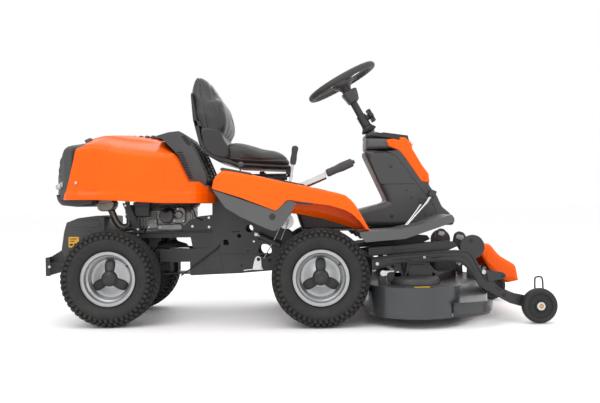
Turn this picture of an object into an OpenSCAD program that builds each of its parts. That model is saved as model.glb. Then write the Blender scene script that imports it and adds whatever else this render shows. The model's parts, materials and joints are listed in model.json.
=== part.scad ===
// Riding lawn mower with an articulated rear and a front cutting deck.
// +X is forward, +Y is left, +Z is up, millimetres. The origin is on the ground under the middle.

/* [Overall] */
// Distance between the front and rear axles
wheelbase = 890; // [860:5:1080]
// Front axle ahead of the origin
front_axle_x = 116; // [100:1:130]
// Width over the front tyres
front_width = 884; // [860:4:1064]
// Width over the rear tyres
rear_width = 700; // [660:4:720]

/* [Wheels] */
// Outside diameter of the four road tyres
tyre_d = 407; // [396:1:412]
// Width of the road tyres
tyre_w = 170; // [150:1:172]
// Outside diameter of the steel rims
rim_d = 230; // [216:1:240]
// Diameter of the fixed front spindles
spindle_d = 20; // [16:1:26]
// Diameter of the driven rear half shafts
half_shaft_d = 25; // [20:1:32]
// Radius of the deck's front wheels
deck_wheel_r = 72.5; // [66:0.5:73]

/* [Cutting deck] */
// Length of each blade's arm
blade_r = 170; // [140:1:172]
// Distance of the side blades from the centre line
blade_y = 300; // [290:1:330]
// Lead of the middle blade over the side blades
blade_lead = 176; // [170:1:190]
// Blade spindle diameter
blade_spindle_d = 20; // [16:1:25]
// Lower edge of the deck shell above the ground
shell_z = 41; // [36:1:46]
// Height of the deck shell
shell_h = 124; // [110:1:125]
// Diameter of the pins that the deck frame lifts on
lift_pin_d = 20; // [16:1:25]
// Length of the cutting height links between pin centres
link_len = 60; // [50:1:66]
// Diameter of the link pins and of their cross shafts
link_pin_d = 16; // [12:1:18]

/* [Frame and engine] */
// Width over the frame's side plates
frame_w = 250; // [240:1:260]
// Thickness of the frame plates
plate_t = 6; // [4:0.5:8]
// Diameter of the vertical steering pivot pin
pivot_d = 30; // [24:1:36]
// Engine crankshaft diameter
crank_d = 25; // [20:1:30]
// Outside diameter of the crank pulley
crank_pulley_d = 171; // [150:1:176]
// Steering pivot ahead of the rear axle
trail = 209; // [205:1:230]

/* [Steering column] */
// Outside diameter of the fixed column tube
column_d = 44; // [40:1:50]
// Outside diameter of the sliding inner column
inner_d = 34; // [26:1:36]
// Outside diameter of the steering wheel
wheel_d = 345; // [320:1:380]
// Thickness of the steering wheel rim
wheel_rim_d = 30; // [24:1:34]

/* [Fits] */
// Radial clearance of turning pins and shafts
run_gap = 0.05; // [0.02:0.01:0.1]
// Radial clearance of sliding pieces
slide_gap = 0.5; // [0.3:0.1:1]

/* [Hidden] */
$fn = 64;

fx = front_axle_x;              // datum of everything at the front
rx = fx - wheelbase;            // rear axle
pv = rx + trail;                // steering pivot, datum of the engine, the hood and the bogie
axle_z = tyre_d / 2;
front_y = (front_width - tyre_w) / 2;   // middle of a front tyre
rear_y = (rear_width - tyre_w) / 2;     // middle of a rear tyre
frame_y = frame_w / 2;
fender_y = front_width / 2 - 42;        // outer wall of the fenders
foot_y = front_width / 2 - 22;          // outer edge of the foot plates
lever_y = fender_y - 70;
height_y = fender_y - 25;
throttle_y = fender_y - 36;

hood_t = 4;
hood_pin = [pv - 445, 548];     // hinge of the hood, X and Z
hood_pin_d = 10;

seat_y = 240;                   // half width of the seat
seat_pin = [fx - 126, 652];     // hinge of the seat, X and Z
seat_pin_d = 10;
rail_y = 100;                   // inner face of a seat rail
rail_w = 25;
rail_z = 636;                   // top of the seat rails

crank_z = 273;                  // underside of the crank pulley
crank_h = 37;
crank_groove_z = [crank_z + 10, crank_z + 27];
engine_z = 393;                 // top of the engine plate
belt_w = 11;
belt_t = 8;
groove_depth = 13;
belt_gap = 0.5;                 // belt above the bottom of its groove
belt_steps = 24;                // straight pieces of the belt round each pulley
drive_pulley_x = rx - 16;
drive_pulley_d = 120;

column_foot = [fx + 247, 838];  // where the column leaves the dash, X and Z
column_tilt = 28.5;             // lean of the column from upright
tube_len = 82;                  // fixed tube above the dash
upper_len = 220;                // inner column from its socket to the wheel
knob_d = 71;
knob_s = 60;                    // clamping knob's distance up the column
wheel_s = 255;                  // steering wheel hub's distance up the column
sheave = [fx - 143, 0, 430];    // steering cable wheel

lift_pin = [fx + 146, 230];     // hinge of the deck's frame, X and Z
arm_y = 345;                    // outer face of the deck's side arms
blade_x = fx + 400;             // side blade spindles
centre_x = blade_x + blade_lead;
shell_r = blade_r + 27;
shell_t = 4;
shell_top = shell_z + shell_h;
rear_link_x = fx + 324;         // frame ends of the links
front_link_x = fx + 736;
link_z = shell_top + 44;
deck_wheel_x = fx + 896.5;
deck_wheel_y = arm_y + 30;
blade_pulley_d = 90;
blade_pulley_z = shell_top + 9;
lift_lever_pin = [fx - 176, 543];
height_lever_foot = [fx - 127, 545];
lever_pin_d = 14;
lift_tilt = 22.8;               // rest angle of the lift lever above level
lift_tube_len = 226;
button_d = 16;
throttle_pin = [fx - 328, 612];
pedal_pin = [fx + 362, 384];
pedal_pin_d = 12;

// A band of even height under a line of points
function band(line, t) =
    concat(line, [for (i = [len(line) - 1:-1:0]) [line[i][0], line[i][1] - t]]);
// The same points moved along X
function at(x, pts) = [for (p = pts) [x + p[0], p[1]]];
// Points that each carry the way they move when a shell's inside is drawn g smaller
function inset(pts, g) = [for (p = pts) [p[0] + g * p[2], p[1] + g * p[3]]];

// An outline in X and Z, drawn from y0 to y1
module slab(pts, y0, y1)
    translate([0, y1, 0]) rotate([90, 0, 0]) linear_extrude(y1 - y0) polygon(pts);

// A round bar along Y, from y0 to y1
module across(x, z, d, y0, y1)
    translate([x, y0, z]) rotate([-90, 0, 0]) cylinder(d = d, h = y1 - y0);

// A box from its two corners
module block(a, b) translate(a) cube(b - a);

// The same on the right and on the left
module both_sides() {
    children();
    mirror([0, 1, 0]) children();
}

// Places its children at the column's foot, with +Z up the column
module on_column(s = 0)
    translate([column_foot[0], 0, column_foot[1]]) rotate([0, -column_tilt, 0])
        translate([0, 0, s]) children();

// Direction of the outer tangent's normal from circle a to circle b, each [x, y, r], going
// anticlockwise round them
function tangent(a, b) =
    atan2(b[1] - a[1], b[0] - a[0]) - acos((a[2] - b[2]) / norm([b[0] - a[0], b[1] - a[1]]));
function rim_point(c, w) = [c[0] + c[2] * cos(w), c[1] + c[2] * sin(w)];

// The area inside a tight loop round circles that are given anticlockwise
module loop_area(discs) {
    n = len(discs);
    for (d = discs) translate([d[0], d[1]]) circle(r = d[2]);
    polygon([for (i = [0:n - 1]) for (c = [discs[i], discs[(i + 1) % n]])
        rim_point(c, tangent(discs[i], discs[(i + 1) % n]))]);
}

// One side of a V-belt round pulleys given anticlockwise, w out from its seat in the grooves
function belt_side(discs, w) =
    let (n = len(discs))
    [for (i = [0:n - 1])
        let (d = discs[i])
        let (w0 = tangent(discs[(i + n - 1) % n], d))
        let (turn = (tangent(d, discs[(i + 1) % n]) - w0 + 720) % 360)
        for (k = [0:belt_steps])
            rim_point([d[0], d[1], d[2] - groove_depth + belt_gap + w], w0 + turn * k / belt_steps)];

module belt(discs, z) difference() {
    translate([0, 0, z - belt_t / 2]) linear_extrude(belt_t) polygon(belt_side(discs, belt_w));
    translate([0, 0, z - belt_t]) linear_extrude(2 * belt_t) polygon(belt_side(discs, 0));
}

// ---- Front frame: side plates, engine plate, cross plates, axle beam and seat rails ----

frame_line = concat(
    at(pv, [[112, 195], [112, 262], [-27, 262], [-27, 314], [114, 314], [206, 319], [211, 596]]),
    at(fx, [[-366, 596], [-266, 480], [-56, 330], [184, 300], [184, 215], [84, 215], [40, 176],
            [-40, 176], [-66, 240], [-128, 252], [-213, 211], [-336, 203]]));

module front_frame() color([0.18, 0.18, 0.18]) difference() {
    union() {
        both_sides() slab(frame_line, frame_y - plate_t, frame_y);
        // engine plate with turned down sides
        block([pv - 140, -frame_y, engine_z - plate_t], [pv + 214, frame_y, engine_z]);
        block([pv - 196, -76, engine_z - plate_t], [pv - 140, 76, engine_z]);
        both_sides() {
            block([pv - 140, frame_y - plate_t, engine_z - 28], [pv + 214, frame_y, engine_z - plate_t]);
            block([pv - 196, 70, engine_z - 28], [pv - 140, 76, engine_z - plate_t]);
            block([pv - 140, 70, engine_z - 28], [pv - 134, frame_y, engine_z - plate_t]);
        }
        // pivot ears above and below the bogie's arm
        block([pv - 27, -frame_y, 256], [pv + 112, frame_y, 262]);
        block([pv - 30, -60, 196], [pv + 130, 60, 202]);
        block([pv + 106, -frame_y, 196], [pv + 112, frame_y, 262]);
        translate([pv, 0, 196]) cylinder(d = pivot_d, h = 66);
        // cross plates
        block([fx - 340, -frame_y, 222], [fx - 334, frame_y, 310]);
        block([fx - 462, -frame_y, 590], [fx - 450, frame_y, 596]);
        // pedal tray ahead of the plates
        slab(at(fx, [[170, 325], [343, 349], [459, 386], [459, 380], [343, 343], [170, 319]]), -100, 100);
        both_sides() slab(at(fx, [[160, 300], [184, 300], [184, 326], [160, 326]]), 94, frame_y);
        // front axle beam and spindles
        block([fx - 25, 35 - front_y, axle_z - 25], [fx + 25, front_y - 35, axle_z + 25]);
        both_sides() across(fx, axle_z, spindle_d, front_y - 35, front_y + 60);
        both_sides() across(fx, axle_z, spindle_d + 12, front_y + 44, front_y + 50);
        // seat rails on posts
        both_sides() {
            block([fx - 416, rail_y, rail_z - 15], [fx - 150, rail_y + rail_w, rail_z]);
            for (x = [-400, -186]) {
                block([fx + x, rail_y + 6, 470], [fx + x + 20, frame_y, rail_z - 15]);
            }
            block([fx - 190, rail_y + 6, 400], [fx - 162, frame_y, 474]);
        }
        // cross shaft of the lift and height levers
        across(lift_lever_pin[0], lift_lever_pin[1], lever_pin_d, -height_y - 9, -frame_y + 10);
        // sheave bracket and pedal lugs
        both_sides() across(sheave[0], sheave[2], 40, frame_y - plate_t, frame_y + 8);
        block([fx - 160, frame_y - plate_t, 395], [fx - 126, frame_y, 446]);
        both_sides() {
            for (y = [150, 236]) slab(at(fx, [[350, 345], [374, 352], [374, 392], [350, 392]]), y, y + 6);
            slab(at(fx, [[350, 345], [374, 352], [374, 358], [350, 351]]), 90, 242);
            across(pedal_pin[0], pedal_pin[1], pedal_pin_d, 150, 242);
        }
    }
    // holes for the crankshaft and the lift pin
    translate([pv, 0, engine_z - 40]) cylinder(d = crank_d + 12, h = 80);
    across(lift_pin[0], lift_pin[1], lift_pin_d + 2 * run_gap, -frame_y - 9, frame_y + 9);
    // lightening holes and slots in the side plates
    across(fx - 308, 400, 34, -frame_y - 1, frame_y + 1);
    across(fx - 370 + 16, 368, 18, -frame_y - 1, frame_y + 1);
    both_sides() {
        block([fx - 425, frame_y - 20, 328], [fx - 400, frame_y + 20, 352]);
        across(fx - 240, 300, 60, frame_y - 9, frame_y + 9);
        across(fx - 120, 310, 44, frame_y - 9, frame_y + 9);
    }
    across(sheave[0], sheave[2], 14, -frame_y - 20, -frame_y + 30);
    block([fx - 200, -frame_y - 1, 540], [fx - 80, frame_y + 1, 590]);
}

// ---- Engine and tanks ----

module engine_block() color([0.3, 0.3, 0.31]) {
    difference() {
        union() {
            block([pv - 90, -100, engine_z], [pv + 112, 100, engine_z + 92]);
            translate([pv, 0, engine_z + 90]) cylinder(d = 120, h = 16);
            block([pv - 190, -62, engine_z + 20], [pv - 90, 62, engine_z + 84]);
            for (i = [0:5]) block([pv - 180 + 15 * i, -74, engine_z + 14], [pv - 174 + 15 * i, 74,
                    engine_z + 92]);
            translate([pv, 0, crank_z + crank_h + 12]) cylinder(d = crank_d + 11,
                    h = engine_z - crank_z - crank_h);
        }
        translate([pv, 0, crank_z + crank_h]) cylinder(d = crank_d + 2 * run_gap,
                h = engine_z + 40 - crank_z - crank_h);
        across(pv + 13, engine_z + 70, 24, -101, -80);
    }
    across(pv + 13, engine_z + 70, 24, -108, -80);
}

shroud_z = engine_z + 106;

module engine_shroud() color([0.13, 0.13, 0.13]) difference() {
    translate([pv, 0, shroud_z]) rotate_extrude()
        polygon([[0, 0], [128, 0], [138, 12], [138, 150], [120, 182], [70, 200], [0, 202]]);
    translate([pv, 0, shroud_z]) rotate_extrude()
        polygon([[0, 6], [124, 6], [133, 16], [133, 146], [118, 177], [96, 186], [96, 190], [60, 190],
                [60, 194],
                 [0, 194]]);
    for (i = [0:11]) translate([pv, 0, shroud_z + 184]) rotate([0, 0, 30 * i])
        block([30, -5, 0], [62, 5, 30]);
}

module oil_filter() color([0.1, 0.1, 0.1]) {
    translate([pv + 13, 0, engine_z + 70]) rotate([90, 0, 0]) translate([0, 0, 108]) rotate_extrude()
        polygon([[0, 0], [30, 0], [32.5, 3], [32.5, 68], [29, 74], [12, 78], [0, 78]]);
}

module muffler() color([0.42, 0.4, 0.38]) {
    translate([pv - 250, 0, 640]) rotate([90, 0, 0]) translate([0, 0, -110]) cylinder(d = 110, h = 220);
    block([pv - 212, -20, 600], [pv - 190, 20, 625]);
    block([pv - 206, -14, engine_z + 80], [pv - 190, 14, 600]);
}

module fuel_tank() color([0.75, 0.75, 0.72]) difference() {
    union() {
        slab(at(fx, [[-400, 560], [-400, 590], [-240, 590], [-240, 520], [-300, 520]]), 250, fender_y - 20);
        translate([fx - 320, fender_y - 75, 590]) cylinder(d = 60, h = 26);
    }
    slab(at(fx, [[-390, 563], [-390, 586], [-244, 586], [-244, 524], [-298, 524]]), 254, fender_y - 24);
}

// ---- Plastic body ----

fender_top = [[-438, 581, 3.5, -1], [-430, 606, 3.5, -2], [-405, 642, 2, -4], [-380, 648, 0, -4],
              [-250, 623, -0.5, -4], [-79, 584, -0.5, -4], [83, 546, -1, -4], [132, 515, -2, -3.5],
              [172, 453, -3.5, -2], [202, 394, -3.5, 0]];
fender_rim = inset(fender_top, 0);
fender_roof = concat(fender_rim, [for (i = [9:-1:0]) inset(fender_top, 1)[i]]);
fender_edge = [[188, 394], [165, 428], [130, 462], [40, 497], [-80, 514], [-125, 523], [-150, 507],
               [-183, 479], [-325, 535]];
fender_inner = [[188, 392], [165, 392], [20, 440], [-70, 460], [-150, 470], [-325, 535]];

module fender_body() color([1, 0.43, 0]) difference() {
    union() {
        // raised sides: top sheet, outer wall and inner wall
        both_sides() {
            slab(at(fx, fender_roof), seat_y + 4, fender_y);
            slab(at(fx, concat(fender_rim, fender_edge)), fender_y - 4, fender_y);
            slab(at(fx, concat(fender_rim, fender_inner)), seat_y + 4, seat_y + 8);
        }
        // floor under the seat and wall down to the foot space
        slab(at(fx, [[-438, 600], [-134, 600], [-69, 394], [161, 391], [161, 387], [-73, 390], [-138, 596],
                     [-438, 596]]), -seat_y - 8, seat_y + 8);
        // tunnel between the feet
        slab(at(fx, [[-134, 600], [-56, 530], [157, 470], [157, 466], [-57, 526], [-138, 596]]), -115, 115);
        both_sides() slab(at(fx, [[-134, 600], [-56, 530], [157, 470], [157, 388], [-69, 390]]), 111, 115);
    }
    // slots for the seat rails, the levers and the filler
    both_sides() block([fx - 420, rail_y - 3, 590], [fx - 150, rail_y + rail_w + 3, 610]);
    block([fx - 200, -lever_y - 14, 500], [fx + 34, -lever_y + 14, 640]);
    block([fx - 165, -height_y - 9, 550], [fx - 78, -height_y + 9, 640]);
    block([fx - 350, -throttle_y - 14, 590], [fx - 306, -throttle_y + 14, 660]);
    across(lift_lever_pin[0], lift_lever_pin[1], lever_pin_d + 10, -seat_y - 20, -seat_y + 10);
    translate([fx - 320, fender_y - 75, 560]) cylinder(d = 68, h = 120);
    block([fx - 70, -111, 380], [fx + 165, 111, 400]);
}

module side_panels() color([0.36, 0.36, 0.36]) both_sides() {
    slab(at(fx, [[-438, 569], [-386, 495], [-326, 457], [-237, 415], [-196, 398], [-180, 398], [-151, 418],
                 [-97, 506], [-121, 523], [-150, 507], [-183, 479]]), fender_y - 10, fender_y - 5);
    slab(at(fx, [[-386, 495], [-326, 457], [-237, 415], [-237, 420], [-326, 462], [-383, 498]]),
         fender_y - 40, fender_y - 10);
}

foot_top = [[161, 386], [201, 390], [323, 394], [445, 421], [514, 448], [534, 452], [544, 438]];
foot_low = [[544, 423], [465, 396], [343, 357], [184, 346], [161, 372]];

module foot_plate() color([0.38, 0.38, 0.38]) difference() {
    union() {
        slab(at(fx, concat(foot_top, [[539, 436], [530, 446], [514, 443], [446, 416], [324, 389], [201, 385],
                                      [161, 381]])), -foot_y, foot_y);
        both_sides() slab(at(fx, concat(foot_top, foot_low)), foot_y - 5, foot_y);
        both_sides() slab(at(fx, concat(foot_top, foot_low)), 116, 121);
        for (i = [0:8]) both_sides()
            slab(at(fx, band([[330, 397], [440, 421.5]], 3)), 150 + 28 * i, 158 + 28 * i);
    }
    block([fx + 100, -116, 300], [fx + 700, 116, 500]);
    // slots for the pedal rods
    for (y = [-216, -180, 216]) block([fx + 352, y - 9, 370], [fx + 470, y + 9, 440]);
}

pedestal_line = [[157, 398, 1, 1], [157, 467, 1, -1], [311, 505, 1, -1], [215, 727, 1, -1], [219, 744, 1, -1],
                 [424, 744, -1, -1], [436, 719, -1, -1], [501, 619, -1, -1], [505, 578, -1, -1],
                 [536, 537, -1, -1], [558, 483, -1, -1], [593, 455, -1, -1], [615, 415, -1, 1]];
dash_line = [[220, 747], [221, 790], [221, 821], [249, 830], [352, 814], [406, 799], [430, 771], [423, 747]];

inlay_y = 46;
inlay_line = [[395, 802], [406, 800], [431, 772], [438, 722], [506, 630], [509, 592], [502, 592], [498, 628],
              [429, 720], [423, 768], [402, 793], [394, 795]];

module pedestal() color([0.22, 0.22, 0.22]) difference() {
    slab(at(fx, inset(pedestal_line, 0)), -105, 105);
    slab(at(fx, inset(pedestal_line, 4)), -101, 101);
    block([fx + 162, -90, 380], [fx + 610, 90, 420]);
    on_column() translate([0, 0, -400]) cylinder(d = column_d + 8, h = 400);
    slab(at(fx, inlay_line), -inlay_y, inlay_y);
}

module dash_shroud() color([0.2, 0.2, 0.2]) difference() {
    slab(at(fx, dash_line), -100, 100);
    slab(at(fx, [[225, 740], [225, 817], [249, 825], [350, 810], [402, 795], [425, 770], [418, 740]]),
            -96, 96);
    on_column() translate([0, 0, -60]) cylinder(d = column_d + 2, h = 120);
    slab(at(fx, inlay_line), -inlay_y, inlay_y);
}

module dash_inlay() color([1, 0.43, 0]) slab(at(fx, inlay_line), -inlay_y, inlay_y);

module column_tube() color([0.16, 0.16, 0.16]) difference() {
    union() {
        on_column(-60) cylinder(d = column_d, h = 60 + tube_len);
        on_column(0) rotate_extrude()
            polygon([[column_d / 2 - 1, -2], [column_d / 2 + 12, 4], [column_d / 2 + 6, 18],
                    [column_d / 2 - 1, 26]]);
        on_column(knob_s) rotate([0, 90, 0]) cylinder(d = 26, h = 30);
    }
    on_column(-70) cylinder(d = inner_d + 2 * slide_gap, h = 400);
    on_column(knob_s) rotate([0, 90, 0]) cylinder(d = 10 + 2 * run_gap, h = 40);
}

module throttle_plate() color([0.15, 0.15, 0.15]) difference() {
    union() {
        slab(at(fx, [[-405, 655], [-398, 660], [-282, 637], [-273, 630], [-273, 627.8], [-380, 648.6],
                     [-405, 648.6]]), -throttle_y - 25, -throttle_y + 25);
        for (y = [-13, 7]) block([throttle_pin[0] - 10, -throttle_y + y, throttle_pin[1] - 8],
                                 [throttle_pin[0] + 10, -throttle_y + y + 6, 642]);
    }
    block([fx - 350, -throttle_y - 5, 590], [fx - 306, -throttle_y + 5, 680]);
    across(throttle_pin[0], throttle_pin[1], 6 + 2 * run_gap, -throttle_y - 20, -throttle_y + 20);
}

// ---- Hood ----

hood_side = [[-420, 541, 1, -1], [-420, 600, 1, 0], [-395, 740, 1, 0], [-360, 790, 1, -1], [-318, 827, 1, -1],
             [-221, 836, 0, -1], [-170, 837, 0, -1], [-108, 830, 0, -1], [-33, 813, 0, -1], [5, 796, 0, -1],
             [65, 740, -1, -1], [82, 718, -1, 0], [150, 559, -1, -1], [228, 559, -1, -1], [228, 515, -1, -1],
             [7, 519, 0, -1], [-242, 536, 0, -1]];
hood_front = [[-285, 500, 1, -1], [-285, 745, 1, 0], [-268, 778, 1, -1], [-225, 800, 1, -1], [-120,
        830, 0, -1],
              [0, 838, 0, -1], [120, 830, 0, -1], [225, 800, -1, -1], [268, 778, -1, -1], [285, 745, -1, 0],
              [285, 500, -1, -1]];
hood_plan = [[-425, -205, 1, 1], [-405, -255, 1, 1], [-340, -285, 0, 1], [130, -285, 0, 1], [235, -270, 0, 1],
             [235, 270, 0, -1], [130, 285, 0, -1], [-340, 285, 0, -1], [-405, 255, 1, -1], [-425, 205,
                     1, -1]];

module hood_form(g) intersection() {
    slab(at(pv, inset(hood_side, g)), -300, 300);
    translate([pv - 500, 0, 0]) rotate([90, 0, 90]) linear_extrude(800) polygon(inset(hood_front, g));
    translate([pv, 0, 400]) linear_extrude(500) polygon(inset(hood_plan, g));
}

module hood_shell() color([1, 0.43, 0]) difference() {
    hood_form(0);
    hood_form(hood_t);
    // the front stays open for the louvre panel, the tail for its grille
    slab(at(pv, [[8, 850], [8, 782], [50, 736], [68, 712], [138, 556], [300, 556], [300, 850]]), -265, 265);
    block([pv + 140, -262, 500], [pv + 240, 262, 560]);
    block([pv - 430, -190, 500], [pv - 400, 190, 760]);
}

module hood_louvre() color([0.2, 0.2, 0.2]) difference() {
    slab(at(pv, [[-18, 809], [39, 825], [83, 829], [100, 820], [117, 793], [128, 780], [156, 736], [196, 640],
                 [199, 613], [190, 585], [176, 562], [148, 562], [80, 720], [62, 742], [10, 796]]),
                         -230, 230);
    slab(at(pv, [[18, 792], [66, 746], [84, 724], [150, 568], [173, 568], [185, 588], [193, 613], [190, 638],
                 [151, 732], [112, 788], [96, 814], [82, 823], [41, 819], [20, 812]]), -226, 226);
    // louvre slots up the front
    for (i = [0:7]) translate([pv + 196 - 7.2 * i, 0, 630 + 17 * i])
        block([-30, -180, 0], [30, 180, 7]);
    slab(at(pv, [[-30, 780], [60, 700], [148, 540], [170, 540], [170, 560], [60, 760], [0, 800]]), -222, 222);
}

module hood_tail_grille() color([0.16, 0.16, 0.16]) difference() {
    union() {
        slab(at(pv, [[-448, 541], [-459, 554], [-458, 592], [-451, 635], [-437, 678], [-413, 747],
                [-400, 757],
                     [-400, 741], [-416, 668], [-423, 606], [-423, 541]]), -185, 185);
        both_sides() translate([hood_pin[0], 150, hood_pin[1]]) rotate([-90, 0, 0]) cylinder(d = 22, h = 24);
    }
    for (y = [-150, -52, 46], z = [585, 640]) block([pv - 470, y, z], [pv - 390, y + 84, z + 34]);
    both_sides() across(hood_pin[0], hood_pin[1], hood_pin_d + 2 * run_gap, 140, 190);
    both_sides() block([pv - 470, 176, 530], [pv - 427, 190, 572]);
}

// ---- Seat ----

module seat_slide() color([0.25, 0.25, 0.25]) difference() {
    union() {
        block([fx - 420, -150, rail_z + 1], [fx - 140, 150, rail_z + 6]);
        both_sides() {
            block([fx - 420, rail_y - 5, rail_z - 14], [fx - 140, rail_y + rail_w + 5, rail_z + 1]);
            block([seat_pin[0] - 14, 150, rail_z + 1], [seat_pin[0] + 12, 158, seat_pin[1] + 6]);
            block([seat_pin[0] - 14, 140, rail_z + 1], [seat_pin[0] - 12, 158, rail_z + 6]);
        }
        across(seat_pin[0], seat_pin[1], seat_pin_d, -158, 158);
    }
    both_sides() block([fx - 430, rail_y - slide_gap, rail_z - 20],
                       [fx - 130, rail_y + rail_w + slide_gap, rail_z + slide_gap]);
}

module seat_pan() color([0.17, 0.17, 0.17]) difference() {
    union() {
        slab(at(fx, [[-118, 662], [-356, 676], [-453, 706], [-491, 731], [-514, 773], [-540, 880],
                [-532, 882],
                     [-505, 778], [-484, 738], [-450, 714], [-355, 684], [-118, 670]]), 20 - seat_y,
                             seat_y - 20);
        both_sides() translate([seat_pin[0], 100, seat_pin[1]]) rotate([-90, 0, 0])
            cylinder(d = seat_pin_d + 8, h = 40);
        both_sides() block([seat_pin[0] - 8, 100, seat_pin[1] + 4], [seat_pin[0] + 8, 140, 666]);
    }
    across(seat_pin[0], seat_pin[1], seat_pin_d + 2 * run_gap, -170, 170);
    both_sides() block([seat_pin[0] - 18, 147, 655], [seat_pin[0] + 16, 161, 690]);
}

module seat_cushion() color([0.13, 0.13, 0.13])
    slab(at(fx, [[-117, 671], [-356, 685], [-405, 700], [-414, 776], [-372, 785], [-308, 770], [-239, 746],
                 [-169, 735], [-133, 712], [-115, 678]]), -seat_y, seat_y);

module seat_backrest() color([0.13, 0.13, 0.13])
    slab(at(fx, [[-500, 782], [-416, 780], [-404, 813], [-385, 846], [-389, 892], [-411, 966], [-434, 985],
                 [-461, 1041], [-497, 1079], [-521, 1089], [-539, 1080], [-549, 1043], [-550, 997],
                         [-528, 880]]),
         -seat_y, seat_y);

// ---- Steering ----

module column_upper() color([0.13, 0.13, 0.13]) difference() {
    on_column(wheel_s - 25 - upper_len) cylinder(d = inner_d, h = upper_len - 8);
    on_column(wheel_s - 60) cylinder(d = 16 + 2 * run_gap, h = 80);
}

module steering_wheel() color([0.11, 0.11, 0.11]) on_column(wheel_s) {
    rotate_extrude() translate([(wheel_d - wheel_rim_d) / 2, 6]) circle(d = wheel_rim_d);
    rotate_extrude()
        polygon([[0, -30], [20, -30], [26, -14], [42, -6], [46, 4], [40, 12], [20, 16], [0, 17]]);
    translate([0, 0, -58]) cylinder(d = 16, h = 30);
    for (a = [0, 120, 240]) rotate([0, 0, a + 180])
        block([36, -18, -4], [(wheel_d - wheel_rim_d) / 2 - 4, 18, 5]);
}

module lock_knob() color([0.11, 0.11, 0.11]) on_column(knob_s) rotate([0, 90, 0]) {
    translate([0, 0, 31]) difference() {
        cylinder(d = knob_d, h = 20);
        for (a = [0:60:300]) rotate([0, 0, a]) translate([knob_d / 2 + 9, 0, -1]) cylinder(d = 30, h = 22);
    }
    translate([0, 0, inner_d / 2 + 1]) cylinder(d = 10, h = 40 - inner_d / 2);
}

module cable_pulley() color([0.75, 0.75, 0.75]) {
    translate([sheave[0], -frame_y - 9, sheave[2]]) rotate([90, 0, 0]) rotate_extrude()
        polygon([[0, 0], [34, 0], [34, 2], [27, 6], [34, 10], [34, 12], [14, 12], [12, 15], [0, 15]]);
    across(sheave[0], sheave[2], 14 - 2 * run_gap, -frame_y - 10, -frame_y + 10);
}

// ---- Levers and pedals ----

module lift_lever() color([0.75, 0.75, 0.75]) difference() {
    translate([lift_lever_pin[0], -lever_y, lift_lever_pin[1]]) rotate([0, -lift_tilt, 0]) {
        rotate([0, 90, 0]) cylinder(d = 22, h = lift_tube_len);
        rotate([90, 0, 0]) translate([0, 0, -11]) cylinder(d = 36, h = 22);
    }
    across(lift_lever_pin[0], lift_lever_pin[1], lever_pin_d + 2 * run_gap, -lever_y - 20, -lever_y + 20);
}

lift_grip_start = lift_lever_pin + lift_tube_len * [cos(lift_tilt), sin(lift_tilt)];

// Places its children on the lift lever's axis, with +Z towards the grip
module on_grip() translate([lift_grip_start[0], -lever_y, lift_grip_start[1]])
    rotate([0, 90 - lift_tilt, 0]) children();

module lift_grip() color([0.1, 0.1, 0.1]) on_grip() difference() {
    rotate_extrude() polygon([[0, 0], [13, 0], [17, 8], [16, 40], [19, 70], [18, 112], [15, 118], [0, 118]]);
    translate([0, 0, 100]) cylinder(d = button_d + 2 * slide_gap, h = 30);
}

module lift_button() color([0.25, 0.25, 0.25]) on_grip() translate([0, 0, 109]) cylinder(d = button_d,
        h = 18);

module height_lever() color([0.1, 0.1, 0.1]) difference() {
    union() {
        slab([[lift_lever_pin[0], lift_lever_pin[1] - 6], [lift_lever_pin[0], lift_lever_pin[1] + 6],
              [height_lever_foot[0] - 2, height_lever_foot[1] + 6],
              [height_lever_foot[0] + 4, height_lever_foot[1] - 6]], -height_y - 5, -height_y + 5);
        across(lift_lever_pin[0], lift_lever_pin[1], 28, -height_y - 7, -height_y + 7);
        translate([height_lever_foot[0], -height_y, height_lever_foot[1]]) rotate([0, 9, 0]) {
            cylinder(d = 12, h = 132);
            translate([0, 0, 128]) rotate_extrude()
                polygon([[0, 0], [11, 0], [13, 20], [11, 40], [14, 62], [12, 72], [0, 75]]);
        }
    }
    across(lift_lever_pin[0], lift_lever_pin[1], lever_pin_d + 2 * run_gap, -height_y - 9, -height_y + 9);
}

module throttle_lever() color([0.1, 0.1, 0.1])
    translate([throttle_pin[0], -throttle_y, throttle_pin[1]]) {
        rotate([0, 5, 0]) cylinder(d = 6, h = 50);
        rotate([90, 0, 0]) translate([0, 0, -4]) cylinder(d = 14, h = 8);
        rotate([90, 0, 0]) translate([0, 0, -12]) cylinder(d = 6, h = 24);
        translate([5, 0, 58]) sphere(d = 26);
    }

// A pedal: a rod from its pin at the given side to a pad, leaning forward
module pedal(y, lean, len, pad) {
    difference() {
        union() {
            translate([pedal_pin[0], y, pedal_pin[1]]) rotate([0, lean, 0]) cylinder(d = 9, h = len);
            across(pedal_pin[0], pedal_pin[1], pedal_pin_d + 9, y - 8, y + 8);
        }
        across(pedal_pin[0], pedal_pin[1], pedal_pin_d + 2 * run_gap, y - 9, y + 9);
    }
    translate([pedal_pin[0] + len * sin(lean), y, pedal_pin[1] + len * cos(lean)]) rotate([0, lean - 18, 0])
        block([-14, -pad / 2, -8], [14, pad / 2, 22]);
}

module forward_pedal() color([0.72, 0.72, 0.72]) pedal(-216, 40, 197, 56);
module reverse_pedal() color([0.72, 0.72, 0.72]) pedal(-176, 38, 152, 24);
module brake_pedal() color([0.2, 0.2, 0.2]) pedal(216, 40, 197, 56);

// ---- Rear bogie: frame, cover, bumper and drive, all turning about the steering pivot ----

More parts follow.
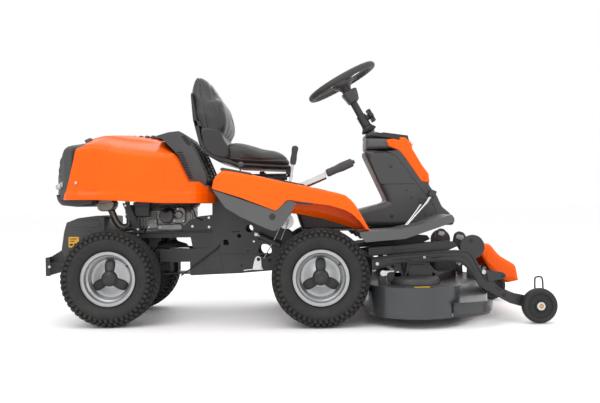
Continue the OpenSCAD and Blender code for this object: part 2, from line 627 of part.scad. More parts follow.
module rear_frame() color([0.17, 0.17, 0.17]) difference() {
    union() {
        translate([pv, 0, 205]) cylinder(d = pivot_d + 40, h = 48);
        block([pv - 156, -45, 212], [pv, 45, 246]);
        block([pv - 156, -136, 206], [pv - 148, 136, 262]);
        both_sides()
            slab(at(pv, [[-156, 206], [-156, 262], [-330, 330], [-434, 330], [-434, 262], [-300, 206]]),
                 130, 136);
        block([pv - 434, -136, 262], [pv - 428, 136, 330]);
    }
    translate([pv, 0, 190]) cylinder(d = pivot_d + 2 * run_gap, h = 80);
    both_sides() across(rx, axle_z, 66, 120, 150);
}

cover_line = [[-441, 290, 1, -1], [-451, 321, 1, 0], [-439, 400, 1, 0], [-427, 440, 1, -1], [-377, 459,
        0, -1],
              [-302, 468, 0, -1], [-262, 463, -1, -1], [-262, 335, -1, 0], [-330, 290, 0, -1]];

module rear_cover() color([0.19, 0.19, 0.19]) difference() {
    slab(at(pv, inset(cover_line, 0)), -168, 168);
    slab(at(pv, inset(cover_line, 4)), -164, 164);
    block([pv - 445, -164, 280], [pv - 340, 164, 296]);
    both_sides() block([pv - 460, 121, 280], [pv - 430, 133, 330]);
}

tow_hole_d = 14;
bumper_t = 8;
bumper_x = pv - 520;

module rear_bumper() color([0.12, 0.12, 0.12]) difference() {
    union() {
        block([bumper_x, -175, 207], [bumper_x + bumper_t, 175, 288]);
        both_sides() slab([[bumper_x, 207], [bumper_x, 288], [bumper_x + 19, 288], [bumper_x + 19,
                207]], 167, 175);
        both_sides() slab([[bumper_x + bumper_t, 262], [bumper_x + bumper_t, 288], [bumper_x + 72, 326],
                           [bumper_x + 80, 326], [bumper_x + 80, 300], [bumper_x + 60, 270]], 124, 130);
    }
    translate([bumper_x - 1, 0, 228]) rotate([0, 90, 0]) cylinder(d = tow_hole_d, h = 20);
}

module transaxle() color([0.55, 0.55, 0.55]) difference() {
    union() {
        block([rx - 76, -92, axle_z - 58], [rx + 48, 92, axle_z + 56]);
        block([rx - 60, -70, axle_z + 56], [rx + 30, 70, axle_z + 66]);
        both_sides() {
            across(rx, axle_z, 64, 90, 170);
            across(rx, axle_z, 84, 92, 112);
            for (a = [45:90:315])
                across(rx + 34 * cos(a), axle_z + 34 * sin(a), 11, 112, 119);
        }
        for (i = [0:4]) block([rx - 70 + 25 * i, -96, axle_z - 50], [rx - 66 + 25 * i, 96, axle_z + 44]);
    }
    both_sides() across(rx, axle_z, half_shaft_d + 2 * run_gap, 50, 172);
    translate([drive_pulley_x, 0, axle_z]) cylinder(d = 17 + 2 * run_gap, h = 80);
}

// Rim of a pulley from z0 to z1 with a groove at each of the given heights, as points [radius, z]
function grooves(r, z0, z1, at_z) = concat(
    [[0, z0], [r, z0]],
    [for (z = at_z) for (p = [[r, -6], [r - groove_depth, -4.8], [r - groove_depth, 4.8], [r, 6]])
        [p[0], z + p[1]]],
    [[r, z1], [0, z1]]);

module drive_belt() color([0.08, 0.08, 0.08])
    belt([[pv, 0, crank_pulley_d / 2], [drive_pulley_x, 0, drive_pulley_d / 2]], crank_groove_z[0]);

module drive_pulley() color([0.7, 0.7, 0.7]) translate([drive_pulley_x, 0, 0]) difference() {
    union() {
        rotate_extrude() polygon(grooves(drive_pulley_d / 2, crank_groove_z[0] - 8, crank_groove_z[0] + 8,
                                         [crank_groove_z[0]]));
        translate([0, 0, axle_z + 4]) cylinder(d = 17, h = 90);
    }
    for (a = [0:60:300]) rotate([0, 0, a]) translate([30, 0, crank_groove_z[0] - 10]) cylinder(d = 16,
            h = 20);
}

module crank_pulley() color([0.75, 0.75, 0.75]) translate([pv, 0, 0]) difference() {
    union() {
        rotate_extrude()
            polygon(grooves(crank_pulley_d / 2, crank_z, crank_z + crank_h, crank_groove_z));
        translate([0, 0, crank_z + crank_h]) cylinder(d = crank_d, h = engine_z + 36 - crank_z - crank_h);
    }
    for (a = [0:60:300]) rotate([0, 0, a]) translate([44, 0, crank_z - 1]) cylinder(d = 22, h = crank_h + 2);
}

// ---- Wheels ----

// Rim about its own axis, which points outwards; bore is 0 where it is fixed on its shaft
module rim(bore) {
    r = rim_d / 2;
    b = bore / 2;
    rotate_extrude()
        polygon([[r, -62], [r, -57], [r - 13, -57], [r - 13, -36], [r - 23, -28], [r - 23, 28], [r - 13, 36],
                 [r - 13, 57], [r, 57], [r, 62], [r - 17, 62], [r - 17, 38], [r - 27, 30], [r - 27,
                         14], [36, 24],
                 [30, 40], [b, 40], [b, -30], [30, -30], [36, 18], [r - 27, 8], [r - 27, -30], [r - 17, -38],
                 [r - 17, -62]]);
}

module tyre() {
    r = rim_d / 2;
    o = tyre_d / 2;
    w = tyre_w / 2;
    side = [[r - 13, 57], [r + 1, 57], [r + 4, w - 19], [r + 25, w - 5], [r + 50, w], [o - 18, w - 2],
            [o - 6, w - 11],
            [o, w - 27]];
    inner = [[o - 12, w - 29], [o - 18, w - 17], [r + 50, w - 14], [r + 25, w - 19], [r + 3, 46],
            [r - 13, 42]];
    rotate_extrude() polygon(concat(
        side, [for (i = [len(side) - 1:-1:0]) [side[i][0], -side[i][1]]],
        [for (i = [len(inner) - 1:-1:0]) [inner[i][0], -inner[i][1]]], inner));
}

// Puts a wheel drawn along +Z on its axle, facing right (-1) or left (1)
module wheel_at(x, y, side) translate([x, side * y, axle_z]) rotate([-90 * side, 0, 0]) children();

module front_tyre(side) color([0.12, 0.12, 0.12]) wheel_at(fx, front_y, side) tyre();
module rear_tyre(side) color([0.12, 0.12, 0.12]) wheel_at(rx, rear_y, side) tyre();
module front_rim(side) color([0.75, 0.75, 0.75])
    wheel_at(fx, front_y, side) rim(spindle_d + 2 * run_gap);
module rear_rim(side) color([0.75, 0.75, 0.75]) wheel_at(rx, rear_y, side) {
    rim(0);
    translate([0, 0, 60 - rear_y]) cylinder(d = half_shaft_d, h = rear_y - 40);
}

module tyre_front_right() front_tyre(-1);
module tyre_front_left() front_tyre(1);
module tyre_rear_right() rear_tyre(-1);
module tyre_rear_left() rear_tyre(1);
module rim_front_right() front_rim(-1);
module rim_front_left() front_rim(1);
module rim_rear_right() rear_rim(-1);
module rim_rear_left() rear_rim(1);

// ---- Cutting deck ----

spindles = [[blade_x, -blade_y], [centre_x, 0], [blade_x, blade_y]];
deck_axle_d = 16;
arm_line = [[217, 225], [217, 278], [333, 292], [564, 304], [626, 294], [667, 227], [699, 176], [769, 128],
            [819, 118], [896, 100], [914, 85], [914, 58], [884, 50], [784, 80], [729, 110], [659, 150],
                    [626, 210],
            [584, 250], [544, 259], [333, 253]];
arm_flange = [[217, 278], [333, 292], [564, 304], [626, 294]];
cover_front = [[688, 280, 1, 0], [705, 322, 1, -1], [740, 322, -1, -1], [778, 270, -1, -1], [850, 226,
        -1, -1],
               [861, 157, -1, 0], [806, 149, 0, -1], [729, 210, 0, -1]];

module deck_frame() color([0.15, 0.15, 0.15]) difference() {
    union() {
        both_sides() {
            slab(at(fx, arm_line), arm_y - 5, arm_y);
            slab(at(fx, band(arm_flange, 5)), arm_y - 20, arm_y);
            slab(at(fx, [[626, 294], [667, 227], [699, 176], [693, 174], [662, 224], [622, 290]]),
                 arm_y - 20, arm_y);
            across(fx + 633, 316, 100, arm_y - 5, arm_y);
            // lugs of the rear links
            slab(at(rear_link_x, [[-14, link_z - 14], [-14, 268], [14, 271], [14, link_z - 14]]),
                 arm_y - 29, arm_y - 23);
            block([rear_link_x - 14, arm_y - 29, 258], [rear_link_x + 14, arm_y - 4, 270]);
            // lugs of the front links, from the front tube
            slab(at(fx, [[724, 206], [724, 226], [756, 226], [834, 100], [822, 96], [808, 112], [727, 202]]),
                 122, 128);
            // lugs back to the lift pin
            slab(at(fx, [[132, 214], [132, 246], [220, 262], [220, 232], [160, 214]]), 104, 116);
            across(deck_wheel_x, deck_wheel_r, deck_axle_d, arm_y - 1, deck_wheel_y + 24);
            across(deck_wheel_x, deck_wheel_r, 34, arm_y - 4, deck_wheel_y - 26);
        }
        block([fx + 214, -arm_y, 228], [fx + 242, arm_y, 268]);
        across(fx + 814, 95, 40, -arm_y + 2, arm_y - 2);
        across(lift_pin[0], lift_pin[1], lift_pin_d, -frame_y - 5, frame_y + 5);
    }
    across(rear_link_x, link_z, link_pin_d + 2 * run_gap, -arm_y, arm_y);
    across(front_link_x, link_z, link_pin_d + 2 * run_gap, -130, 130);
    both_sides() across(fx + 627, 342, 16, arm_y - 9, arm_y + 9);
    both_sides() across(fx + 759, 115, 14, arm_y - 9, arm_y + 9);
}

module deck_front_cover() color([1, 0.43, 0]) difference() {
    slab(at(fx, inset(cover_front, 0)), -230, 230);
    slab(at(fx, inset(cover_front, 4)), -226, 226);
    slab(at(fx, [[680, 200], [692, 276], [733, 215], [808, 153], [857, 160], [870, 130], [800, 130]]),
            -226, 226);
}

module deck_shell() color([0.36, 0.37, 0.38]) {
    difference() {
        union() {
            translate([0, 0, shell_z]) linear_extrude(shell_h)
                loop_area([for (s = spindles) [s[0], s[1], shell_r]]);
            both_sides() {
                slab(at(rear_link_x - link_len, [[-15, shell_top - 1], [-13, link_z + 12], [13, link_z + 12],
                     [15, shell_top - 1]]), arm_y - 49, arm_y - 43);
                slab(at(front_link_x - link_len, [[-15, shell_top - 1], [-13, link_z + 12], [13, link_z + 12],
                     [15, shell_top - 1]]), 102, 108);
            }
        }
        translate([0, 0, shell_z - 1]) linear_extrude(shell_h + 1 - shell_t)
            loop_area([for (s = spindles) [s[0], s[1], shell_r - shell_t]]);
        for (s = spindles) translate([s[0], s[1], shell_z]) cylinder(d = 40, h = 200);
        across(rear_link_x - link_len, link_z, link_pin_d + 2 * run_gap, -arm_y, arm_y);
        across(front_link_x - link_len, link_z, link_pin_d + 2 * run_gap, -130, 130);
    }
    // bearing housings
    for (s = spindles) translate([s[0], s[1], shell_top - 44]) difference() {
        union() {
            cylinder(d = 48, h = 48);
            translate([0, 0, 30]) cylinder(d = 90, h = 10);
        }
        translate([0, 0, -1]) cylinder(d = blade_spindle_d + 2 * run_gap, h = 60);
    }
}

module belt_covers() color([0.14, 0.14, 0.14]) difference() {
    union() {
        translate([0, 0, shell_top]) linear_extrude(31)
            loop_area([for (s = spindles) [s[0], s[1], blade_pulley_d / 2 + 14]]);
        both_sides() slab([[blade_x - 47, 190], [blade_x - 37, 255], [blade_x + 47, 266],
                [blade_x + 92, 190]],
                          blade_y - 85, blade_y);
        slab([[centre_x - 58, 190], [centre_x - 57, 268], [centre_x + 36, 267], [centre_x + 61, 190]],
                -70, 70);
    }
    translate([0, 0, shell_top - 1]) linear_extrude(29)
        loop_area([for (s = spindles) [s[0], s[1], blade_pulley_d / 2 + 11]]);
    both_sides() slab([[blade_x - 43, 180], [blade_x - 34, 251], [blade_x + 45, 262], [blade_x + 86, 180]],
                      blade_y - 82, blade_y - 3);
    slab([[centre_x - 54, 180], [centre_x - 53, 264], [centre_x + 34, 263], [centre_x + 57, 180]], -67, 67);
}

module blade_belt() color([0.08, 0.08, 0.08])
    belt([for (s = spindles) [s[0], s[1], blade_pulley_d / 2]], blade_pulley_z + 8);

// One blade with its spindle, pulley and clamping collar
module blade(s, turn, levels) color([0.5, 0.5, 0.52]) translate([s[0], s[1], 0]) {
    intersection() {
        rotate([0, 0, turn]) block([-blade_r, -27, shell_z + 15], [blade_r, 27, shell_z + 19]);
        translate([0, 0, shell_z]) cylinder(r = blade_r, h = 30);
    }
    translate([0, 0, shell_z + 19]) cylinder(d = 44, h = 14);
    translate([0, 0, shell_z + 9]) cylinder(d = 30, h = 8, $fn = 6);
    translate([0, 0, shell_z + 19]) cylinder(d = blade_spindle_d, h = blade_pulley_z - shell_z - 16);
    rotate_extrude() polygon(grooves(blade_pulley_d / 2, blade_pulley_z, blade_pulley_z + 16 * levels,
                                     [for (i = [0:levels - 1]) blade_pulley_z + 8 + 16 * i]));
}

module blade_right() blade(spindles[0], 20, 1);
module blade_centre() blade(spindles[1], 65, 2);
module blade_left() blade(spindles[2], -20, 1);

// A pair of parallel links with a cross shaft at the frame and a stub pin at the deck
module link_pair(x, y, shaft_end) {
    across(x, link_z, link_pin_d, -shaft_end, shaft_end);
    both_sides() {
        slab([[x - link_len, link_z - 10], [x - link_len, link_z + 10], [x, link_z + 10], [x, link_z - 10]],
             y, y + 6);
        across(x, link_z, 26, y, y + 6);
        across(x - link_len, link_z, 24, y, y + 6);
        across(x - link_len, link_z, link_pin_d, y - 11, y + 6);
    }
}

module rear_links() color([0.7, 0.7, 0.7]) link_pair(rear_link_x, arm_y - 37, arm_y - 23);
module front_links() color([0.7, 0.7, 0.7]) link_pair(front_link_x, 112, 128);

module deck_wheel(side) color([0.1, 0.1, 0.1])
    translate([deck_wheel_x, side * deck_wheel_y, deck_wheel_r]) rotate([-90 * side, 0, 0]) rotate_extrude() {
        b = deck_axle_d / 2 + run_gap;
        polygon([[b, -22], [24, -22], [26, -12], [46, -12], [50, -21], [60, -24], [67, -21],
                [deck_wheel_r - 1, -12],
                 [deck_wheel_r, -4], [deck_wheel_r, 4], [deck_wheel_r - 1, 12], [67, 21], [60, 24], [50, 21],
                 [46, 12], [26, 12], [24, 22], [b, 22]]);
    }

module deck_wheel_right() deck_wheel(-1);
module deck_wheel_left() deck_wheel(1);

front_frame();
engine_block();
engine_shroud();
oil_filter();
muffler();
fuel_tank();
fender_body();
side_panels();
foot_plate();
pedestal();
dash_shroud();
dash_inlay();
column_tube();
throttle_plate();
hood_shell();
hood_louvre();
hood_tail_grille();
seat_slide();
seat_pan();
seat_cushion();
seat_backrest();
column_upper();
steering_wheel();
lock_knob();
cable_pulley();
lift_lever();
lift_grip();
lift_button();
height_lever();
throttle_lever();
forward_pedal();
reverse_pedal();
brake_pedal();
rear_frame();
rear_cover();
rear_bumper();
transaxle();
drive_belt();
drive_pulley();
crank_pulley();
tyre_front_right();
tyre_front_left();
tyre_rear_right();
tyre_rear_left();
rim_front_right();
rim_front_left();
rim_rear_right();
rim_rear_left();
deck_frame();
deck_front_cover();
deck_shell();
belt_covers();
blade_belt();
deck_wheel_right();
deck_wheel_left();
blade_right();
blade_centre();
blade_left();
rear_links();
front_links();
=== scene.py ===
import json
import math
import bpy
import bmesh
import numpy as np
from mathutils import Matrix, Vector


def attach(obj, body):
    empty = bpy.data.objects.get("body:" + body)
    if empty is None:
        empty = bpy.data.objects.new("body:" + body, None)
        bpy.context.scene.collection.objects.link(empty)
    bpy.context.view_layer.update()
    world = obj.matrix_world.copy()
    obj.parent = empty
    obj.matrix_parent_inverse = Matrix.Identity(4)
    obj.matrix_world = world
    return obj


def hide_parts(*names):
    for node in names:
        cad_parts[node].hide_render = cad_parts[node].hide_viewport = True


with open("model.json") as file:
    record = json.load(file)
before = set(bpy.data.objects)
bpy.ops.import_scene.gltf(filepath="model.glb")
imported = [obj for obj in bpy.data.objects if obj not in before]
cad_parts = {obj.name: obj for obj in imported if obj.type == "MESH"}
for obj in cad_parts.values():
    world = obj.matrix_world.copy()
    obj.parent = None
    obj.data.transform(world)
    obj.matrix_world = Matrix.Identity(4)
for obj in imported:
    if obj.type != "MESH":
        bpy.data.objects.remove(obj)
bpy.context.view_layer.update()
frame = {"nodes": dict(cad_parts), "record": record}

mm = 0.001
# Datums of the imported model, in millimetres
frontAxle = 116.0
rearAxle = -774.0
wheelRadius = 203.5


# sRGB hex to linear: below 0.04045 a straight line, above it a power of 2.4
def linearColour(hexText):
    c = np.array([int(hexText[i:i + 2], 16) / 255 for i in (1, 3, 5)])
    c = np.where(c <= 0.04045, c / 12.92, ((c + 0.055) / 1.055) ** 2.4)
    return (*c.tolist(), 1.0)


# Adds one node, sets its properties and constant inputs, and links every input that is given a socket
def addNode(tree, kind, settings=None, **inputs):
    made = tree.nodes.new(kind)
    for key, value in (settings or {}).items():
        setattr(made, key, value)
    for key, value in inputs.items():
        byNumber = key[0] == "i" and key[1:].isdigit()
        socket = made.inputs[int(key[1:]) if byNumber else key.replace("_", " ")]
        if isinstance(value, bpy.types.NodeSocket):
            tree.links.new(value, socket)
        else:
            socket.default_value = value
    return made


def startMaterial(name):
    material = bpy.data.materials.new(name)
    material.use_nodes = True
    tree = material.node_tree
    tree.nodes.clear()
    place = addNode(tree, "ShaderNodeTexCoord").outputs["Object"]
    shader = addNode(tree, "ShaderNodeBsdfPrincipled")
    out = addNode(tree, "ShaderNodeOutputMaterial")
    tree.links.new(shader.outputs[0], out.inputs[0])
    return material, tree, place, shader


def mixColours(tree, share, first, second):
    made = addNode(tree, "ShaderNodeMix", {"data_type": "RGBA"})
    tree.links.new(share, made.inputs[0])
    for i, value in ((6, first), (7, second)):
        if isinstance(value, bpy.types.NodeSocket):
            tree.links.new(value, made.inputs[i])
        else:
            made.inputs[i].default_value = value
    return made.outputs[2]


def mapRange(tree, value, a, b, c, d):
    return addNode(tree, "ShaderNodeMapRange", None, Value=value, From_Min=a, From_Max=b, To_Min=c,
                   To_Max=d).outputs[0]


# Noise whose lumps are about sizeMm wide
def noiseAt(tree, place, sizeMm, detail=3.0, rough=0.55):
    return addNode(tree, "ShaderNodeTexNoise", None, Vector=place, Scale=1000 / sizeMm / 2, Detail=detail,
                   Roughness=rough).outputs[0]


# Painted light from above: faces that look up are lightened by the share of the up-facing normal times slow noise
def upwardPaintedLight(tree, place, amount):
    normal = addNode(tree, "ShaderNodeNewGeometry").outputs["Normal"]
    up = addNode(tree, "ShaderNodeSeparateXYZ", None, Vector=normal).outputs[2]
    facing = mapRange(tree, up, 0.2, 1.0, 0.0, amount)
    patch = mapRange(tree, noiseAt(tree, place, 45, 5), 0.4, 0.65, 0.3, 1.0)
    return addNode(tree, "ShaderNodeMath", {"operation": "MULTIPLY"}, i0=facing, i1=patch).outputs[0]


# Moulded and enamelled finishes share one build: slow colour drift, painted top light on faces that look up, uneven
# gloss, a fine texture
def mouldedFinish(name, colour, drift, gloss, grain, topLight, coat=0.0, specular=0.5):
    material, tree, place, shader = startMaterial(name)
    slow = mapRange(tree, noiseAt(tree, place, drift["mm"], 2), 0.35, 0.65, 0.0, 1.0)
    base = mixColours(tree, slow, linearColour(colour), linearColour(drift["to"]))
    # faces that look up are mixed towards a lighter colour as painted light from above
    tonedColour = mixColours(tree, upwardPaintedLight(tree, place, topLight["amount"]), base, linearColour(topLight["colour"]))
    tree.links.new(tonedColour, shader.inputs["Base Color"])
    smear = noiseAt(tree, place, gloss["mm"], 4)
    tree.links.new(mapRange(tree, smear, 0.3, 0.7, gloss["low"], gloss["high"]), shader.inputs["Roughness"])
    fine = noiseAt(tree, place, grain["mm"], grain.get("detail", 2))
    bump = addNode(tree, "ShaderNodeBump", None, Strength=grain["strength"], Distance=grain["deep"] * mm, Height=fine)
    tree.links.new(bump.outputs[0], shader.inputs["Normal"])
    shader.inputs["IOR"].default_value = 1.5
    shader.inputs["Coat Weight"].default_value = coat
    shader.inputs["Coat Roughness"].default_value = 0.08
    shader.inputs["Specular IOR Level"].default_value = specular
    return material


# In each finish below the last table is the painted top light: how much, and the lighter colour that faces looking up
# are mixed towards
# Injection moulded and lacquered ABS: bright orange, a soft ripple of about 6 mm in the gloss
orangeAbs = mouldedFinish("lacqueredOrangeAbs", "#F95E00", {"mm": 260, "to": "#F35800"},
                          {"mm": 70, "low": 0.24, "high": 0.34},
                          {"mm": 6, "strength": 0.05, "deep": 0.5}, {"amount": 0.04, "colour": "#FFA860"}, 0.06, 0.18)
# Spark-eroded polypropylene: dark grey with an even grain; the real 0.4 mm grain is drawn at 2.2 mm
greyPolypropylene = mouldedFinish("grainedPolypropylene", "#3D3D3E", {"mm": 180, "to": "#363637"},
                                  {"mm": 40, "low": 0.42, "high": 0.56},
                                  {"mm": 2.2, "strength": 0.28, "deep": 0.35}, {"amount": 0.10, "colour": "#77736C"})
# The same plastic in the lighter grey of the side panels and foot boards
paleAbs = mouldedFinish("mouldedGreyAbs", "#505050", {"mm": 160, "to": "#4A4A4A"},
                        {"mm": 50, "low": 0.38, "high": 0.5}, {"mm": 2.6, "strength": 0.2, "deep": 0.3},
                        {"amount": 0.12, "colour": "#8C877E"})
# Black ABS of knobs, grips and caps, a little glossier
blackAbs = mouldedFinish("blackAbs", "#242424", {"mm": 90, "to": "#1F1F1F"}, {"mm": 30, "low": 0.34, "high": 0.46},
                         {"mm": 1.8, "strength": 0.22, "deep": 0.25}, {"amount": 0.08, "colour": "#6A665F"})
# Powder coated sheet steel: near black with the coat's own orange peel of about 2 mm
powderSteel = mouldedFinish("powderCoatedSteel", "#2A2A2B", {"mm": 220, "to": "#242425"},
                            {"mm": 60, "low": 0.36, "high": 0.5}, {"mm": 3.0, "strength": 0.22, "deep": 0.3,
                            "detail": 3}, {"amount": 0.2, "colour": "#7C7468"})
# Enamelled deck pressing: dark grey gloss over slightly wavy sheet
deckEnamel = mouldedFinish("enamelledDeckSteel", "#393B3D", {"mm": 240, "to": "#313335"},
                           {"mm": 80, "low": 0.24, "high": 0.36}, {"mm": 14, "strength": 0.06, "deep": 0.9,
                           "detail": 3}, {"amount": 0.1, "colour": "#8A857A"}, 0.2)
# Polyethylene fuel tank: milky, faintly translucent
tankPolyethylene = mouldedFinish("milkyPolyethylene", "#C9C7BC", {"mm": 90, "to": "#BDBBAF"},
                                 {"mm": 30, "low": 0.4, "high": 0.5},
                                 {"mm": 4, "strength": 0.1, "deep": 0.4}, {"amount": 0.1, "colour": "#A39B8A"})
# Varnished filter can: smooth black enamel
filterEnamel = mouldedFinish("filterCanEnamel", "#121212", {"mm": 60, "to": "#0E0E0E"},
                             {"mm": 25, "low": 0.16, "high": 0.24},
                             {"mm": 5, "strength": 0.04, "deep": 0.3}, {"amount": 0.06, "colour": "#5B564D"}, 0.3)


# Metals: fine scratches stretched along one axis in colour, gloss and bump
def metalFinish(name, colour, dark, stretch, rough, scratch, metallic=1.0, stain=0.25):
    material, tree, place, shader = startMaterial(name)
    turned = addNode(tree, "ShaderNodeMapping", None, Vector=place, Scale=stretch).outputs[0]
    lines = noiseAt(tree, turned, scratch["mm"], 5, 0.6)
    patch = mapRange(tree, noiseAt(tree, place, 38, 4), 0.45, 0.7, 0.0, stain)
    base = mixColours(tree, patch, linearColour(colour), linearColour(dark))
    tree.links.new(base, shader.inputs["Base Color"])
    shader.inputs["Metallic"].default_value = metallic
    tree.links.new(mapRange(tree, lines, 0.3, 0.7, rough[0], rough[1]), shader.inputs["Roughness"])
    bump = addNode(tree, "ShaderNodeBump", None, Strength=scratch["strength"], Distance=0.2 * mm, Height=lines)
    tree.links.new(bump.outputs[0], shader.inputs["Normal"])
    return material


# Zinc plated steel: bright, drawn lines of 0.3 mm shown at 1.5 mm, duller patches
zincSteel = metalFinish("zincPlatedSteel", "#C9C9C7", "#7E7C77", (1, 1, 5), (0.2, 0.36),
                        {"mm": 1.5, "strength": 0.12})
# Silver lacquered pressed steel of the wheel discs: less metallic, soft gloss
silverLacquer = metalFinish("silverLacqueredSteel", "#A9AAAB", "#8F9091", (1, 1, 1), (0.3, 0.42),
                            {"mm": 2.5, "strength": 0.06}, 0.75, 0.2)
# Sand cast aluminium: matt with a coarse 1.5 mm skin
castAluminium = metalFinish("castAluminium", "#8B8B8A", "#4C4A47", (1, 1, 1), (0.42, 0.6), {"mm": 3, "strength": 0.5},
                            0.9, 0.5)
# Heat browned mild steel of the exhaust
bluedSteel = metalFinish("heatTintedSteel", "#8A847C", "#5A4A3C", (1, 1, 1), (0.38, 0.55), {"mm": 4, "strength": 0.3},
                         0.85, 0.7)
# Ground blade steel
bladeSteel = metalFinish("groundBladeSteel", "#8C8E90", "#55524E", (8, 1, 1), (0.28, 0.42),
                         {"mm": 2, "strength": 0.2})
brass = metalFinish("turnedBrass", "#C29A54", "#8F6B34", (1, 1, 1), (0.22, 0.32), {"mm": 1.5, "strength": 0.08})


# Vulcanised rubber: dull dark grey, browner in random dusty patches, moulded skin of about 1.5 mm
def rubberFinish(name, colour, tonedColour, rough, skin):
    material, tree, place, shader = startMaterial(name)
    patch = mapRange(tree, noiseAt(tree, place, 26, 5), 0.4, 0.7, 0.0, 0.5)
    base = mixColours(tree, patch, linearColour(colour), linearColour(tonedColour))
    tree.links.new(base, shader.inputs["Base Color"])
    tree.links.new(mapRange(tree, noiseAt(tree, place, 12, 4), 0.3, 0.7, rough[0], rough[1]),
                   shader.inputs["Roughness"])
    bump = addNode(tree, "ShaderNodeBump", None, Strength=0.35, Distance=0.3 * mm,
                   Height=noiseAt(tree, place, skin, 4))
    tree.links.new(bump.outputs[0], shader.inputs["Normal"])
    shader.inputs["Specular IOR Level"].default_value = 0.4
    return material


tyreRubber = rubberFinish("vulcanisedTyreRubber", "#1E1E1E", "#2E2B28", (0.55, 0.72), 2.0)
beltRubber = rubberFinish("wrappedBeltRubber", "#1C1C1C", "#2B2926", (0.62, 0.78), 1.6)
gripRubber = rubberFinish("softGripRubber", "#363636", "#3F3E3C", (0.5, 0.66), 1.8)


# Backed PVC seat cloth: leather-like cells of 2.5 mm with a sheen, and painted shade darkening the cracks
def seatVinyl():
    material, tree, place, shader = startMaterial("embossedSeatVinyl")
    cells = addNode(tree, "ShaderNodeTexVoronoi", {"feature": "DISTANCE_TO_EDGE"}, Vector=place,
                    Scale=1000 / 4.5).outputs[0]
    crack = mapRange(tree, cells, 0.0, 0.12, 0.0, 1.0)
    slow = noiseAt(tree, place, 60, 3)
    tone = mixColours(tree, mapRange(tree, slow, 0.35, 0.65, 0.0, 1.0), linearColour("#232323"),
                      linearColour("#2C2C2B"))
    # the cracks between the cells are darkened to #1E1E1E as painted shade
    base = mixColours(tree, crack, linearColour("#1E1E1E"), tone)
    tree.links.new(base, shader.inputs["Base Color"])
    tree.links.new(mapRange(tree, noiseAt(tree, place, 20, 4), 0.3, 0.7, 0.38, 0.52), shader.inputs["Roughness"])
    bump = addNode(tree, "ShaderNodeBump", None, Strength=0.3, Distance=0.3 * mm, Height=crack)
    tree.links.new(bump.outputs[0], shader.inputs["Normal"])
    shader.inputs["Sheen Weight"].default_value = 0.12
    shader.inputs["Specular IOR Level"].default_value = 0.45
    return material


vinyl = seatVinyl()
thread = mouldedFinish("polyesterThread", "#3C3C3C", {"mm": 20, "to": "#444444"}, {"mm": 8, "low": 0.6, "high": 0.75},
                       {"mm": 1.2, "strength": 0.4, "deep": 0.3}, {"amount": 0.0, "colour": "#555555"})


# Polycarbonate lamp lens: clear grey over a fluted reflector, flutes 4 mm apart; the reflector is not built, and the
# light and dark bands of its flutes are painted reflection in the lens colour
def lampLens():
    material, tree, place, shader = startMaterial("flutedPolycarbonate")
    flutes = addNode(tree, "ShaderNodeTexWave", {"bands_direction": "Y"}, Vector=place, Scale=1000 / 4 / 6.283 * 2,
                     Distortion=0.0).outputs[1]
    # light and dark flute bands: painted reflection of the fluted reflector
    base = mixColours(tree, flutes, linearColour("#B9BCBE"), linearColour("#E6E8E9"))
    tree.links.new(base, shader.inputs["Base Color"])
    tree.links.new(mapRange(tree, noiseAt(tree, place, 10), 0.3, 0.7, 0.06, 0.14), shader.inputs["Roughness"])
    bump = addNode(tree, "ShaderNodeBump", None, Strength=0.3, Distance=0.4 * mm, Height=flutes)
    tree.links.new(bump.outputs[0], shader.inputs["Normal"])
    shader.inputs["Metallic"].default_value = 0.35
    shader.inputs["Coat Weight"].default_value = 0.6
    return material


lens = lampLens()
# Printed vinyl sticker: plain yellow, slightly faded in patches
stickerFilm = mouldedFinish("yellowStickerFilm", "#E0A61C", {"mm": 12, "to": "#D29A18"},
                            {"mm": 10, "low": 0.3, "high": 0.4}, {"mm": 2, "strength": 0.05, "deep": 0.1},
                            {"amount": 0.0, "colour": "#E0A61C"})
print("materials ready")


def paint(piece, *materials):
    piece.data.materials.clear()
    for material in materials:
        piece.data.materials.append(material)


# Puts points (millimetres) and faces into a mesh; welds it, turns its faces outwards and smooths below an angle
def makePiece(name, points, faces, material, body, slotName, sharp=32, stands=(), weld=True):
    mesh = bpy.data.meshes.new(name)
    mesh.from_pydata((np.asarray(points, float) * mm).tolist(), [], [list(map(int, f)) for f in faces])
    work = bmesh.new()
    work.from_mesh(mesh)
    if weld:
        bmesh.ops.remove_doubles(work, verts=work.verts, dist=0.00002)
    bmesh.ops.recalc_face_normals(work, faces=work.faces)
    work.to_mesh(mesh)
    work.free()
    mesh.shade_smooth()
    mesh.set_sharp_from_angle(angle=math.radians(sharp))
    piece = bpy.data.objects.new(name, mesh)
    bpy.context.scene.collection.objects.link(piece)
    mesh.materials.append(material)
    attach(piece, body)
    if stands:
        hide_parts(*stands)
    return piece


# Faces of a grid of rows x columns of points; a wrapped row or column joins its end to its start
def gridFaces(rows, columns, wrapRows=False, wrapColumns=True, first=0):
    i, j = np.meshgrid(np.arange(rows if wrapRows else rows - 1), np.arange(columns if wrapColumns else columns - 1),
                       indexing="ij")
    k, m = (i + 1) % rows, (j + 1) % columns
    quads = np.stack([i * columns + j, i * columns + m, k * columns + m, k * columns + j], -1).reshape(-1, 4)
    return (quads + first).tolist()


# Rings of points stacked into a closed body, its first and last ring filled with one face each
def ringSolid(rings):
    rings = np.asarray(rings, float)
    rows, columns = rings.shape[:2]
    faces = gridFaces(rows, columns)
    faces += [list(range(columns)), list(range((rows - 1) * columns, rows * columns))]
    return rings.reshape(-1, 3), faces


# Joins several (points, faces) into one
def joined(*bodies):
    points, faces, count = [], [], 0
    for p, f in bodies:
        points.append(np.asarray(p, float))
        faces += [[v + count for v in face] for face in f]
        count += len(p)
    return np.concatenate(points), faces


# An outline with the radius of its corners; it is only rounded once it has its final size
def rounded(outline, radius, steps=5):
    return np.asarray(outline, float), radius, steps


